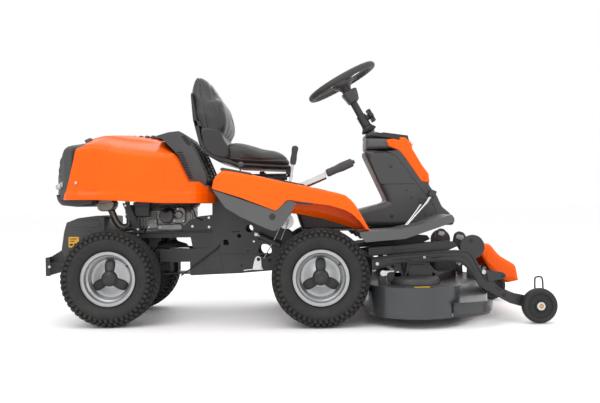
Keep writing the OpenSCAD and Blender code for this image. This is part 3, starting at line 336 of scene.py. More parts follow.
# Rounds each corner P: start on one side, end on the other, a quadratic curve pulled to P between
def roundCorners(p, radius, steps):
    r = np.broadcast_to(np.asarray(radius, float), (len(p),))[:, None]
    toLast, toNext = np.roll(p, 1, 0) - p, np.roll(p, -1, 0) - p
    lengthLast = np.linalg.norm(toLast, axis=1, keepdims=True) + 1e-6
    lengthNext = np.linalg.norm(toNext, axis=1, keepdims=True) + 1e-6
    a = p + toLast / lengthLast * np.minimum(r, lengthLast * 0.45)
    c = p + toNext / lengthNext * np.minimum(r, lengthNext * 0.45)
    t = np.linspace(0, 1, steps)[None, :, None]
    return ((1 - t) ** 2 * a[:, None] + 2 * t * (1 - t) * p[:, None] + t ** 2 * c[:, None]).reshape(-1, 2)


# Moves an outline inwards by a distance: each corner to where its two moved edges cross; an edge that would turn
# round is drawn together to its middle
def shrunk(p, distance):
    area = np.sum(p[:, 0] * np.roll(p[:, 1], -1) - np.roll(p[:, 0], -1) * p[:, 1])
    edge = np.roll(p, -1, 0) - p
    edge = edge / (np.linalg.norm(edge, axis=1, keepdims=True) + 1e-9)
    normal = np.stack([-edge[:, 1], edge[:, 0]], 1) * (1 if area > 0 else -1)
    last = np.roll(normal, 1, 0)
    q = p + distance * (normal + last) / np.maximum(1 + np.sum(normal * last, axis=1, keepdims=True), 0.4)
    for _ in range(6):
        turned = np.sum((np.roll(q, -1, 0) - q) * edge, axis=1) < 0
        if not turned.any():
            break
        middle = (q + np.roll(q, -1, 0)) / 2
        after = np.roll(turned, 1)
        q = np.where(turned[:, None], middle, np.where(after[:, None], np.roll(middle, 1, 0), q))
    return q


# A moulded slab: the X-Z outline carried from y0 to y1, its two rims rounded over a quarter circle of radius edge
def slabBody(outline, y0, y1, edge=3.0, steps=5, dome=0.0):
    raw, radius, cornerSteps = outline
    a = np.linspace(0, math.pi / 2, steps)
    inward = np.concatenate([[edge + 1.5], (edge * (1 - np.cos(a)))[::-1], edge * (1 - np.cos(a)), [edge + 1.5]])
    side = np.concatenate([[y0], y0 + edge * (1 - np.sin(a))[::-1], y1 - edge * (1 - np.sin(a)), [y1]])
    if dome:
        side[0], side[-1] = y0 - dome, y1 + dome
    rings = []
    for g, y in zip(inward, side):
        q = roundCorners(shrunk(raw, g), np.maximum(np.asarray(radius, float) - g * 0.5, 0.6), cornerSteps)
        rings.append(np.stack([q[:, 0], np.full(len(q), y), q[:, 1]], 1))
    return ringSolid(np.array(rings))


# A turned body: profile of (radius, along) swept round an axis through a centre
def latheBody(profile, centre, axis="y", steps=64, closed=True):
    p = np.asarray(profile, float)
    w = np.linspace(0, 2 * math.pi, steps, endpoint=False)
    r, s = p[:, 0][:, None], p[:, 1][:, None]
    u, v, along = r * np.cos(w), r * np.sin(w), np.broadcast_to(s, (len(p), steps))
    order = {"x": (along, u, v), "y": (u, along, v), "z": (u, v, along)}[axis]
    points = (np.stack(order, -1) + np.asarray(centre, float)).reshape(-1, 3)
    return points, gridFaces(len(p), steps, wrapRows=closed)


# A round bar along a path: at each point a circle square to the path, carried without twist
def tubeBody(path, radius, steps=12, caps=True):
    p = np.asarray(path, float)
    tangent = np.gradient(p, axis=0)
    tangent /= np.linalg.norm(tangent, axis=1, keepdims=True)
    up = np.array([0.0, 1.0, 0.0]) if abs(tangent[:, 1]).max() < 0.9 else np.array([0.31, 0.27, 0.91])
    side = np.cross(tangent, up)
    side /= np.linalg.norm(side, axis=1, keepdims=True)
    over = np.cross(side, tangent)
    w = np.linspace(0, 2 * math.pi, steps, endpoint=False)
    r = np.broadcast_to(np.asarray(radius, float), (len(p),))[:, None, None]
    rings = p[:, None] + r * (side[:, None] * np.cos(w)[None, :, None] + over[:, None] * np.sin(w)[None, :, None])
    points = rings.reshape(-1, 3)
    faces = gridFaces(len(p), steps)
    if caps:
        faces += [list(range(steps)), list(range((len(p) - 1) * steps, len(p) * steps))]
    return points, faces


# A smooth line through a few points: each stretch a Catmull-Rom cubic
def smoothPath(points, steps=8):
    p = np.asarray(points, float)
    q = np.concatenate([[2 * p[0] - p[1]], p, [2 * p[-1] - p[-2]]])
    t = np.linspace(0, 1, steps, endpoint=False)[:, None]
    spans = [0.5 * (2 * b + (c - a) * t + (2 * a - 5 * b + 4 * c - d) * t ** 2 + (3 * b - a - 3 * c + d) * t ** 3)
             for a, b, c, d in zip(q[:-3], q[1:-2], q[2:-1], q[3:])]
    return np.concatenate(spans + [p[-1:]])


# Points evenly spaced by length along a line
def spaced(line, count):
    p = np.asarray(line, float)
    s = np.concatenate([[0], np.cumsum(np.linalg.norm(np.diff(p, axis=0), axis=1))])
    at = np.linspace(0, s[-1], count)
    return np.stack([np.interp(at, s, p[:, i]) for i in range(p.shape[1])], 1)


def mirrored(body):
    points, faces = body
    return np.asarray(points) * [1, -1, 1], [f[::-1] for f in faces]


# A body is drawn on the right side; this gives it, or its mirror image for the left side
def onSide(body, side):
    return body if side < 0 else mirrored(body)


def shiftX(points, dx):
    return np.asarray(points, float) + [dx, 0]


# Turns points about the Y axis through a centre; positive leans +Z towards +X
def leaned(points, degrees, centre):
    w = math.radians(degrees)
    p = np.asarray(points, float) - centre
    x = p[:, 0] * math.cos(w) + p[:, 2] * math.sin(w)
    z = -p[:, 0] * math.sin(w) + p[:, 2] * math.cos(w)
    return np.stack([x, p[:, 1], z], 1) + centre


# A button-headed screw or bolt seen end on, with a hexagon socket
def boltBody(x, y, z, diameter, side=-1, height=3.0):
    r = diameter / 2
    profile = [[0, -2], [r, -2], [r, height * 0.35], [r * 0.86, height * 0.85], [r * 0.55, height],
               [r * 0.5, height * 0.3], [0, height * 0.3]]
    return latheBody([[a, side * b] for a, b in profile], (x, y, z), "y", 20, False)


# Every CAD node that stays gets the material of its own slot
slotMaterials = {"orange_plastic": orangeAbs, "dark_plastic": greyPolypropylene, "grey_plastic": paleAbs,
                 "black_plastic": blackAbs, "seat_vinyl": vinyl, "black_steel": powderSteel, "grey_steel": deckEnamel,
                 "bare_steel": zincSteel, "rim_silver": silverLacquer, "tyre_rubber": tyreRubber,
                 "belt_rubber": beltRubber, "cast_alloy": castAluminium, "filter_black": filterEnamel,
                 "tank_plastic": tankPolyethylene}
nodeSlots = {s["node"]: s.get("material_slot") for s in frame["record"]["subparts"]}
for name, node in frame["nodes"].items():
    paint(node, slotMaterials.get(nodeSlots.get(name), powderSteel))


# Reads a table of (x, value) rows at x
def readAt(table, x):
    at, values = np.asarray(table, float).T
    return np.interp(x, at, values)


def smoothStep(x, a, b):
    t = np.clip((np.asarray(x, float) - a) / (b - a), 0, 1)
    return t * t * (3 - 2 * t)


# Gives an open sheet its wall: thickness inwards from the outside face
def thicken(piece, wall):
    made = piece.modifiers.new("wall", "SOLIDIFY")
    made.thickness = wall * mm
    made.offset = -1
    made.use_even_offset = False
    made.use_quality_normals = True
    return piece


# Breaks the sharp edges of a piece
def soften(piece, width, segments=2, angle=30):
    made = piece.modifiers.new("edge", "BEVEL")
    made.width = width * mm
    made.segments = segments
    made.limit_method = "ANGLE"
    made.angle_limit = math.radians(angle)
    made.harden_normals = False
    return piece


hood = {"top": [(-985, 600), (-960, 700), (-930, 760), (-911, 778), (-889, 786), (-884, 821), (-845, 831),
                (-786, 836), (-735, 837), (-673, 830), (-598, 813), (-560, 796), (-500, 742), (-483, 720),
                (-437, 624), (-396, 621), (-374, 606), (-359, 586), (-348, 567), (-337, 559)],
        "shoulder": [(-985, 690), (-911, 765), (-837, 777), (-791, 766), (-728, 752), (-533, 729), (-491, 733),
                     (-470, 700), (-337, 700)], "bottom": [(-1000, 541), (-807, 536), (-558, 519), (-337, 515)],
        "halfWidth": [(-1000, 215), (-985, 236), (-965, 258), (-940, 272), (-905, 285), (-425, 285), (-405, 281),
                      (-385, 268), (-362, 244), (-345, 214), (-337, 190)], "rearEdge": [(540, -982), (560, -976),
        (610, -957), (700, -931), (768, -911), (778, -908), (800, -905), (840, -900)], "wall": 4.0, }


# Ray lengths from a centre to a soft corner between half-planes: the p-norm of one over each distance
def softSection(theta, centre, planes, power):
    c, s = np.abs(np.cos(theta)), np.sin(theta)
    inverse = np.zeros_like(theta)
    for ny, nz, d in planes:
        reach = np.maximum(ny * c + nz * s, 0) / max(d - nz * centre, 1.0)
        inverse += reach ** power
    return inverse ** (-1 / power)


def hoodRing(columns, t, shoulder, w, bottom):
    centre = bottom + 0.62 * (min(t, shoulder) - bottom)
    rise = max(min(t - 4, shoulder + 55) - shoulder, 1.0)
    slant = np.array([rise, 150.0])
    slant /= np.linalg.norm(slant)
    planes = [(1, 0, w), (0, 1, t), (slant[0], slant[1], slant @ [w, shoulder]),
              (0.066, 0.9978, 0.066 * 120 + 0.9978 * (t - 5))]
    theta = np.linspace(math.pi, 0, columns)
    r = softSection(theta, centre, planes, 22)
    y, z = r * np.cos(theta), centre + r * np.sin(theta)
    drop = np.linspace(0, 1, 16)[:, None]
    left = np.array([[y[0], bottom]]) * (1 - drop[:-1]) + np.array([[y[0], z[0]]]) * drop[:-1]
    right = np.array([[y[-1], z[-1]]]) * (1 - drop[1:]) + np.array([[y[-1], bottom]]) * drop[1:]
    return np.concatenate([left, np.stack([y, z], 1), right])


def makeHood():
    x = np.concatenate([np.linspace(-911, -892, 8), np.linspace(-890, -882, 6), np.linspace(-878, -566, 84),
                        np.linspace(-562, -410, 62), np.linspace(-407, -337, 24)])
    t, s = readAt(hood["top"], x), readAt(hood["shoulder"], x)
    w, b = readAt(hood["halfWidth"], x), readAt(hood["bottom"], x)
    rings = np.array([hoodRing(*v) for v in zip(np.full(len(x), 121), t, np.minimum(s, t - 4), w, b)])
    y, z = rings[:, :, 0], rings[:, :, 1]
    fade = np.clip((-760 - x) / 151, 0, 1)[:, None]
    edge = np.interp(z, [p[0] for p in hood["rearEdge"]], [p[1] for p in hood["rearEdge"]])
    xx = x[:, None] + fade * (edge + 911)
    y = y * readAt(hood["halfWidth"], xx) / w[:, None]
    side = smoothStep(np.abs(y), 225, 262)
    # the panel behind the upright crease lies 7 mm deeper, with a slanted band between
    near, far = np.interp(z, [540, 571, 651, 757], [-806, -807, -801, -764]), np.interp(z, [540, 584, 669, 766],
            [-846, -841, -818, -791])
    inset = 9 * smoothStep(-xx, -near, -far)
    inset += 1.6 * np.exp(-((xx - near + 3) / 3.5) ** 2) + 1.2 * np.exp(-((xx - far - 3) / 3.5) ** 2)
    # below the slanting crease another 2.5 mm
    line = np.interp(xx, [-935, -818, -746], [722, 669, 640])
    inset += 4 * smoothStep(line - z, -2, 4) * smoothStep(-xx, 742, 752)
    # a shallow step before the front corner, and the standing flange along the hem
    inset += 3.0 * smoothStep(xx, -545 + 0.12 * (z - 640), -533 + 0.12 * (z - 640))
    hem = np.interp(xx, [-980, -807, -421], [583, 573, 563])
    inset = inset * smoothStep(z, 560, 578) - 0.5 * smoothStep(hem - z, -1.5, 2.5)
    inset += 2.6 * np.exp(-((z - hem - 2.5) / 3.0) ** 2)
    y = y - np.sign(y) * inset * side
    # the middle of the roof stands 7.5 mm above its sides, behind a crease
    middle = smoothStep(-np.abs(y), -150, -128)
    ridge = middle * smoothStep(xx, -892, -884) * smoothStep(-xx, 560, 640)
    roof = smoothStep(z, 770, 800) * smoothStep(xx, -892, -880) * smoothStep(-xx, 560, 640)
    z = z + 1.5 * ridge - 6 * (1 - middle) * roof
    points = np.stack([xx, y, z], -1)
    rows, columns = y.shape
    faces = gridFaces(rows, columns, wrapColumns=False)
    faces.append(list(range((rows - 1) * columns, rows * columns)))
    piece = makePiece("hoodSkin", points.reshape(-1, 3), faces, orangeAbs, "hood", "orange_plastic", 40,
                      stands=("hood_shell",))
    return thicken(piece, hood["wall"])


makeHood()

tail = {"top": [(-1024, 590), (-1020, 640), (-1013, 690), (-1000, 735), (-978, 776), (-950, 797), (-915, 807),
                (-890, 807), (-842, 800)], "halfWidth": [(-1024, 176), (-1016, 198), (-1000, 220), (-975, 240),
                                                         (-945, 246), (-918, 230), (-890, 190), (-842, 170)],
        "bottom": [(-1024, 556), (-1013, 541), (-842, 541)], "recesses": [(-1008, 727), (-1013, 688), (-1016, 652)], }


def makeTail():
    x = np.concatenate([[-1024], np.linspace(-1023, -985, 22), np.linspace(-983, -842, 40)])
    t, w, b = readAt(tail["top"], x), readAt(tail["halfWidth"], x), readAt(tail["bottom"], x)
    s = np.where(x < -985, t - 12, np.minimum(t - 14, 772))
    rings = np.array([hoodRing(*v) for v in zip(np.full(len(x), 97), t, s, w, b)])
    xx = np.broadcast_to(x[:, None], rings.shape[:2]).copy()
    y, z = rings[:, :, 0].copy(), rings[:, :, 1].copy()
    # three small shut vents on each flank, pressed 4 mm in with steep sides
    for cx, cz in tail["recesses"]:
        pocket = smoothStep(-np.abs(xx - cx - 10), -13, -9) * smoothStep(-np.abs(z - cz), -13, -9)
        pocket *= smoothStep(np.abs(y), 150, 170)
        y -= np.sign(y) * 6 * pocket
    # ribs over the back, 18 mm apart
    rib = np.clip(np.cos(z / 18 * 2 * math.pi) * 2, -1, 1) * smoothStep(-np.abs(y), -150, -140)
    rib *= smoothStep(z, 590, 600) * smoothStep(-z, -790, -770)
    xx = xx + 1.6 * rib * smoothStep(-xx, 860, 930)
    points = np.stack([xx, y, z], -1)
    rows, columns = y.shape
    faces = gridFaces(rows, columns, wrapColumns=False)
    faces.append(list(range(columns)))
    piece = makePiece("hoodTail", points.reshape(-1, 3), faces, greyPolypropylene, "hood", "dark_plastic", 38,
                      stands=("hood_tail_grille",))
    thicken(piece, 4)
    # hinge lugs, plates and bolts, and the pale edge strip in front of the hump
    lugs = joined(*[latheBody([[5.2, -12], [11, -12], [11, 12], [5.2, 12]], (-1010, side * 162, 548), "y", 32)
                    for side in (-1, 1)])
    makePiece("tailHingeLugs", *lugs, greyPolypropylene, "hood", "dark_plastic")
    strip = slabBody(rounded([(-916, 803), (-888, 815), (-884, 798), (-890, 788), (-908, 790)], 4), -150, 150, 3)
    makePiece("tailPaleStrip", *strip, paleAbs, "hood", "grey_plastic")
    plates, pins = [], []
    for side in (-1, 1):
        y0 = side * 226 if side > 0 else -230
        plates.append(slabBody(rounded([(-1016, 584), (-1018, 602), (-1002, 612), (-974, 626), (-970, 612),
                                        (-988, 598), (-1000, 584)], 6), y0, y0 + 4, 1))
        pins.append(boltBody(-1003, side * 232, 598, 18, side, 5))
    makePiece("tailHingePlates", *joined(*plates), silverLacquer, "hood", "bare_steel")
    makePiece("tailHingeBolts", *joined(*pins), zincSteel, "hood", "bare_steel")
    foot = slabBody(rounded([(-1024, 566), (-1016, 534), (-1000, 516), (-930, 508), (-868, 520), (-862, 540),
                             (-1000, 545)], 8), -212, 212, 6)
    makePiece("tailFoot", *foot, greyPolypropylene, "hood", "dark_plastic")


makeTail()

louvre = {"finCount": 9, "finTop": (-432, 748), "finLow": (-372, 604), "ribs": 11}


# Fins across the front of the louvre panel, the side ribs and the grab scoop
def makeLouvre():
    soften(frame["nodes"]["hood_louvre"], 2.5, 3)
    t = np.linspace(0, 1, louvre["finCount"])
    fins = []
    for k in t:
        x = louvre["finTop"][0] + k * (louvre["finLow"][0] - louvre["finTop"][0])
        z = louvre["finTop"][1] + k * (louvre["finLow"][1] - louvre["finTop"][1])
        fins.append(slabBody(rounded([(x - 22, z + 12), (x + 4, z + 2), (x + 5, z - 2), (x + 1, z - 3),
                                      (x - 24, z + 7)], 2), -196, 196, 2, 3))
    makePiece("louvreFins", *joined(*fins), greyPolypropylene, "hood", "dark_plastic")
    ribs = []
    for k in np.linspace(0, 1, louvre["ribs"]):
        x, z = -496 + 42 * k, 742 - 108 * k
        for side in (-1, 1):
            y0 = side * 231.5 - 1.5
            ribs.append(slabBody(rounded([(x, z), (x + 24, z + 1.5), (x + 25, z - 3), (x + 1, z - 4.5)], 1.2), y0, y0
                                 + 3, 0.8, 3))
    # dark sheets in the gaps between the side ribs and in the grab scoop are painted shade in these openings
    gaps = []
    for k in np.linspace(0, 1, louvre["ribs"]):
        x, z = -492 + 42 * k, 736.5 - 108 * k
        gap = slabBody(rounded([(x, z), (x + 25, z + 1.5), (x + 26, z - 3.4), (x + 1, z - 4.9)], 1.2), -231.4, -229.5,
                       0.3, 3)
        gaps += [gap, mirrored(gap)]
    scoop = slabBody(rounded([(-474, 806), (-458, 811), (-433, 778), (-436, 762), (-452, 776)], 5), -231.4, -229.5,
                     0.3)
    makePiece("louvreRecesses", *joined(*gaps, scoop, mirrored(scoop)), beltRubber, "hood", "dark_plastic")
    makePiece("louvreSideRibs", *joined(*ribs), greyPolypropylene, "hood", "dark_plastic")
    frameBars = [slabBody(rounded([(-455, 806), (-436, 787), (-405, 742), (-366, 650), (-362, 614), (-371, 612),
                                   (-377, 648), (-414, 738), (-444, 781), (-460, 800)], 4), y - 9, y + 9, 3)
                 for y in (-200, -66, 66, 200)]
    makePiece("louvreUprights", *joined(*frameBars), greyPolypropylene, "hood", "dark_plastic")
    hook = slabBody(rounded([(-372, 622), (-362, 624), (-344, 606), (-340, 592), (-352, 590), (-366, 604)], 4), -60,
                    60, 3)
    makePiece("louvreLatch", *hook, paleAbs, "hood", "grey_plastic")
    bumps = [slabBody(rounded([(x - 14, 812), (x - 9, 829.5), (x + 9, 828.5), (x + 14, 812)], 5), -60, 60, 5)
             for x in np.linspace(-712, -600, 5)]
    makePiece("roofGripBumps", *joined(*bumps), greyPolypropylene, "hood", "dark_plastic")
    screws = joined(*[boltBody(-916, side * 273, 611, 13, side, 3) for side in (-1, 1)])
    makePiece("hoodScrews", *screws, zincSteel, "hood", "bare_steel")


makeLouvre()
print("hood made")

fender = {"top": [(-438, 581), (-434, 604), (-424, 626), (-405, 642), (-380, 648), (-250, 623), (-79, 584), (83, 546),
                  (118, 528), (145, 500), (172, 453), (202, 394)], "low": [(-438, 572), (-325, 535), (-183, 479),
          (-172, 484), (-138, 518), (-125, 523), (-80, 514), (40, 497), (100, 478), (130, 462), (165, 428),
          (188, 395), (202, 393)], "inner": [(-438, 574), (-325, 535), (-150, 470), (-70, 460), (20, 440), (165, 393),
                                             (202, 392)], "outerY": 400.0, "innerY": 244.0, "round": 20.0,
          "wall": 4.0, }


# One fender: across it a lip, the outer wall, a rounded shoulder, the top and the inner wall; along it the outline
def fenderSide(side):
    topLine = spaced(smoothPath(fender["top"], 6), 150)
    x = topLine[:, 0]
    t, low, inner = topLine[:, 1], readAt(fender["low"], x), readAt(fender["inner"], x)
    tall = np.maximum(t - low, 1.0)
    r = np.minimum(fender["round"], tall * 0.45)
    yo, yi = fender["outerY"], fender["innerY"]
    a = np.linspace(0, math.pi / 2, 7)
    one = np.ones_like(x)
    columns = [(yo - 16) * one, (yo - 5) * one, (yo - 1) * one, yo * one]
    heights = [low + np.minimum(5, tall * 0.3), low + 0.8, low + 1.2, low + np.minimum(5, tall * 0.35)]
    for k in np.linspace(0.15, 0.85, 6):
        columns.append(yo * one + 1.5 * math.sin(k * math.pi) * np.minimum(tall / 60, 1) - 1.5)
        heights.append(low + 5 + (t - r - low - 5) * k)
    for w in a:
        columns.append(yo - r + r * math.cos(w))
        heights.append(t - r + r * math.sin(w))
    for k in (0.12, 0.3, 0.5, 0.7, 0.88):
        columns.append(yo - r - (yo - yi - 2 * r) * k)
        heights.append(t - 2.5 * math.sin(k * math.pi))
    for w in a[::-1]:
        columns.append(yi + r - r * math.cos(w))
        heights.append(t - r + r * math.sin(w))
    for k in (0.3, 0.65, 1.0):
        columns.append(yi * one)
        heights.append(t - r - (t - r - inner) * k)
    y, z = np.array(columns).T, np.array(heights).T
    # a crease runs along the wall 40 mm under the top, the strip above it leaning in
    crease = smoothStep(z, (t - 46)[:, None], (t - 40)[:, None]) * (y > yo - 8)
    y = y - 1.8 * crease
    points = np.stack([np.broadcast_to(frontAxle + x[:, None], y.shape), side * y, z], -1)
    return points.reshape(-1, 3), gridFaces(len(x), y.shape[1], wrapColumns=False)


def makeFenders():
    piece = makePiece("fenderSkins", *joined(fenderSide(-1), fenderSide(1)), orangeAbs, "front", "orange_plastic", 44,
                      stands=("fender_body",))
    thicken(piece, fender["wall"])
    fx = frontAxle
    ends = []
    for side in (-1, 1):
        y0, y1 = (246, 396) if side > 0 else (-396, -246)
        ends.append(slabBody(rounded(shiftX([(-437, 575), (-434, 602), (-424, 624), (-405, 640), (-396, 640),
                                             (-415, 618), (-425, 596), (-426, 573)], fx), 4), y0, y1, 2, 3))
    makePiece("fenderRearWalls", *joined(*ends), orangeAbs, "front", "orange_plastic")
    floor = slabBody(rounded(shiftX([(-438, 600), (-134, 600), (-69, 394), (161, 391), (161, 387), (-73, 390),
                                     (-138, 596), (-438, 596)], fx), 3), -243, 243, 1, 3)
    makePiece("seatFloor", *floor, greyPolypropylene, "front", "dark_plastic")
    tunnel = slabBody(rounded(shiftX([(-136, 600), (-56, 534), (20, 508), (157, 470), (157, 388), (-69, 390)], fx),
                              14), -115, 115, 14, 6)
    makePiece("footTunnel", *tunnel, greyPolypropylene, "front", "dark_plastic")
    shade = [slabBody(rounded(shiftX([(-112, 522), (-96, 528), (-40, 519), (-18, 508), (-36, 500), (-92, 506)], fx),
                              5), (side * 392 if side > 0 else -397), (side * 397 if side > 0 else -392), 1.5, 3)
             for side in (-1, 1)]
    makePiece("fenderShadeInserts", *joined(*shade), blackAbs, "front", "dark_plastic")
    groove = []
    for side in (-1, 1):
        for a, b, y in ((-222, -124, 386), (-23, 30, 386), (-200, 60, 262)):
            line = np.array([(fx + x, side * y, readAt(fender["top"], x) - 2.4) for x in np.linspace(a, b, 14)])
            groove.append(tubeBody(line, 3.0, 8))
    makePiece("fenderTopSeams", *joined(*groove), blackAbs, "front", "dark_plastic")
    slots = [slabBody(rounded(shiftX([(-206, 618), (-60, 586), (-58, 579), (-206, 612)], fx), 3), -346, -314, 2, 3),
             slabBody(rounded(shiftX([(-160, 607), (-84, 590), (-84, 583), (-160, 600)], fx), 3), -386, -366, 2, 3)]
    makePiece("leverSlotSeals", *joined(*slots), beltRubber, "front", "dark_plastic")


makeFenders()
print("fenders made")
tread = {
    "outer": wheelRadius, "pitches": 48, "perPitch": 14, "deep": 11.0,
    # rows of lugs across the tyre, as start and end of arc from the middle, and their turn in pitches
    "rows": [(0.0, 8.0, 0.0), (13.0, 28.0, 0.5), (33.0, 48.0, 0.0), (53.0, 68.0, 0.5), (73.0, 86.0, 0.0),
             (90.0, 108.0, 0.5)],
}


# Height of the lugs at arc distance s across and turn a in pitches: 1 on a lug, 0 in a groove, smooth flanks
def lugHeight(s, a):
    total = np.zeros(np.broadcast(s, a).shape)
    for start, end, turn in tread["rows"]:
        across = smoothStep(np.abs(s), start - 2.2, start + 0.2) if start else np.ones_like(np.abs(s))
        across = across * smoothStep(-np.abs(s), -end - 1.2, -end + 1.2)
        slant = turn + 0.010 * np.abs(s) * (1 if start < 60 else 0.2)
        phase = np.abs((a + slant) % 1.0 - 0.5) * 2
        along = smoothStep(-phase, -0.74, -0.56)
        # the waist of the H: a slot from each end into the middle of the lug
        middle = (start + end) / 2 if start else 0.0
        slot = smoothStep(-np.abs(np.abs(s) - middle), -3.6, -1.8) * smoothStep(phase, 0.28, 0.4) * (start < 60)
        total = np.maximum(total, across * along * (1 - 0.75 * slot))
    return total


# The tyre: a closed profile swept round, its outside raised by the lugs along the profile's own normal
def makeTyre(name, body, x, y, side):
    o = tread["outer"]
    # outer profile of the lug tops, from the bead on one side over the tread to the other
    half = smoothPath([(118, 60), (122, 67), (141, 80), (165, 84.5), (183, 83), (193, 76), (200, 62), (202.8, 40),
                       (o, 18), (o, 0)], 8)
    outside = np.concatenate([half, half[::-1][1:] * [1, -1]])
    outside = spaced(outside, 118)
    arc = np.concatenate([[0], np.cumsum(np.linalg.norm(np.diff(outside, axis=0), axis=1))])
    s = arc - arc[-1] / 2
    edge = np.gradient(outside, axis=0)
    normal = np.stack([edge[:, 1], -edge[:, 0]], 1) / np.linalg.norm(edge, axis=1, keepdims=True)
    normal *= np.sign(normal[len(normal) // 2, 0])
    sunk = tread["deep"] * smoothStep(-np.abs(s), -118, -96)
    steps = tread["pitches"] * tread["perPitch"]
    a = np.arange(steps) / tread["perPitch"]
    lug = lugHeight(s[:, None], a[None, :])
    # letter-free rings and a fine rib pattern on the side walls
    ring = 0.8 * np.exp(-((np.abs(s) - 128) / 1.6) ** 2) + 0.8 * np.exp(-((np.abs(s) - 150) / 1.6) ** 2)
    scuff = 0.7 * smoothStep(np.abs(s), 112, 114) * smoothStep(-np.abs(s), -124, -122)
    serration = scuff[:, None] * (0.5 + 0.5 * np.cos(a[None, :] * 2 * math.pi * 6))
    offset = -sunk[:, None] * (1 - lug) - 0.9 + ring[:, None] + serration
    shape = outside[:, None, :] + normal[:, None, :] * offset[:, :, None]
    inner = np.array([(116.5, -54), (116, -50), (116, 50), (116.5, 54)])[:, None, :] + np.zeros((1, steps, 1))
    shape = np.concatenate([shape, inner])
    turn = a / tread["pitches"] * 2 * math.pi
    r, along = shape[:, :, 0], shape[:, :, 1]
    points = np.stack([x + r * np.cos(turn), y + side * along, tread["outer"] + r * np.sin(turn)], -1)
    return makePiece(name, points.reshape(-1, 3), gridFaces(len(shape), steps, wrapRows=True), tyreRubber, body,
                     "tyre_rubber", 36, stands=(body.replace("wheel", "tyre"),), weld=False)


# Section of a wheel disc as (radius, along the axle), from the outer flange over the dish to the inner side
rimProfile = [(115, 62), (116.5, 59), (116.5, 56), (113, 55.5), (107, 56), (102.5, 55), (101, 50), (100.5, 38),
              (98, 34), (92, 31), (88.5, 27), (87, 20), (85, 12), (81, 8), (75, 7.5), (66, 10), (52, 15), (42, 21),
              (36, 24), (0, 24), (0, 18), (36, 18), (42, 15), (60, 8), (85, 1), (89, -10), (92, -28), (98, -34),
              (101, -40), (101, -57), (108, -58), (115, -57), (115, -62), (98, -62), (95, -38), (86, -28), (80, -6),
              (62, 2), (44, 10), (0, 12)]


# The wheel disc, and on it a dark cap with three arms: radius of the cap's outline by angle
def makeRim(name, body, x, y, side):
    points, faces = latheBody([(r, side * a) for r, a in rimProfile], (x, y, wheelRadius), "y", 96, False)
    makePiece(name, points, faces, silverLacquer, body, "rim_silver", 40, stands=(body.replace("wheel", "rim"),))
    w = np.linspace(0, 2 * math.pi, 144, endpoint=False)
    arm = np.abs(((w - math.pi / 2) / (2 * math.pi) * 3 + 0.5) % 1.0 - 0.5) * 2 * 60
    reach = 34 + 46 * smoothStep(-arm, -36, -8)
    rings = []
    for share, lift in ((1.0, 3), (1.0, 9), (0.985, 12), (0.95, 14), (0.9, 15), (0.6, 18), (0.42, 21), (0.38, 25),
                        (0.34, 27), (0.22, 28), (0.04, 28)):
        q = reach * share if share > 0.5 else np.full_like(w, 78 * share)
        disc = 8 + 0.26 * (78 - q)
        rings.append(np.stack([x + q * np.cos(w), np.full_like(w, y) + side * (disc + lift - 3), wheelRadius + q
                               * np.sin(w)], 1))
    makePiece(body.replace("wheel", "hubCap"), *ringSolid(rings), blackAbs, body, "black_plastic", 35)
    stem = latheBody([(0, 0), (4, 0), (4.5, 3), (4.5, 17), (3.6, 19), (0, 19)], (0, 0, 0), "y", 16, False)
    v = math.radians(34)
    stemPoints = stem[0] * [1, side, 1] + [x + 92 * math.cos(v), y + side * 26, wheelRadius + 92 * math.sin(v)]
    makePiece(body.replace("wheel", "valve"), stemPoints, stem[1], blackAbs, body, "black_plastic")


casterSizes = {"x": 1012.5, "y": 375, "radius": 72.5}
for side, word in ((-1, "right"), (1, "left")):
    for end, x, y in (("front", frontAxle, 357), ("rear", rearAxle, 265)):
        makeTyre(f"treadedTyre_{end}_{word}", f"wheel_{end}_{word}", x, side * y, side)
        makeRim(f"wheelDisc_{end}_{word}", f"wheel_{end}_{word}", x, side * y, side)
    # small solid deck wheel: rounded tread, dished web, silver hub ring and brass bush
    x, y, z = casterSizes["x"], side * casterSizes["y"], casterSizes["radius"]
    profile = smoothPath([(9, -21), (22, -22), (25, -14), (45, -13), (50, -20), (58, -23.5), (66, -21), (70.5, -14),
                          (72.3, 0), (70.5, 14), (66, 21), (58, 23.5), (50, 20), (45, 13), (25, 14), (22, 22),
                          (9, 21)], 4)
    makePiece(f"deckCaster_{word}", *latheBody([(r, side * a) for r, a in profile], (x, y, z), "y", 72), tyreRubber,
              f"deck_wheel_{word}", "tyre_rubber", 50, stands=(f"deck_wheel_{word}",))
    cap = latheBody([(9.2, side * 20), (16, side * 20), (17, side * 22), (16.5, side * 25), (13, side * 26),
                     (9.2, side * 26)], (x, y, z), "y", 40)
    makePiece(f"casterHubRing_{word}", *cap, zincSteel, f"deck_wheel_{word}", "bare_steel")
    nut = latheBody([(0, side * 24), (8.6, side * 24), (8.6, side * 26.6), (6.5, side * 28), (0, side * 28)],
                    (x, y, z), "y", 6, False)
    makePiece(f"casterAxleEnd_{word}", *nut, brass, "deck_frame", "bare_steel")
print("wheels made")
seat = {"cushion": [(-117, 676), (-356, 690), (-402, 702), (-409, 768), (-372, 777), (-308, 763), (-239, 740),
                    (-169, 729), (-134, 708), (-118, 684)], "back": [(-494, 790), (-424, 788), (-412, 815),
        (-394, 848), (-398, 892), (-419, 962), (-441, 982), (-467, 1034), (-499, 1070), (-521, 1080), (-534, 1072),
        (-542, 1042), (-543, 997), (-522, 882)], "halfWidth": 232.0, "voxel": 6.0, "pressure": 4.0, "frames": 20,
        "cap": 9.0, }


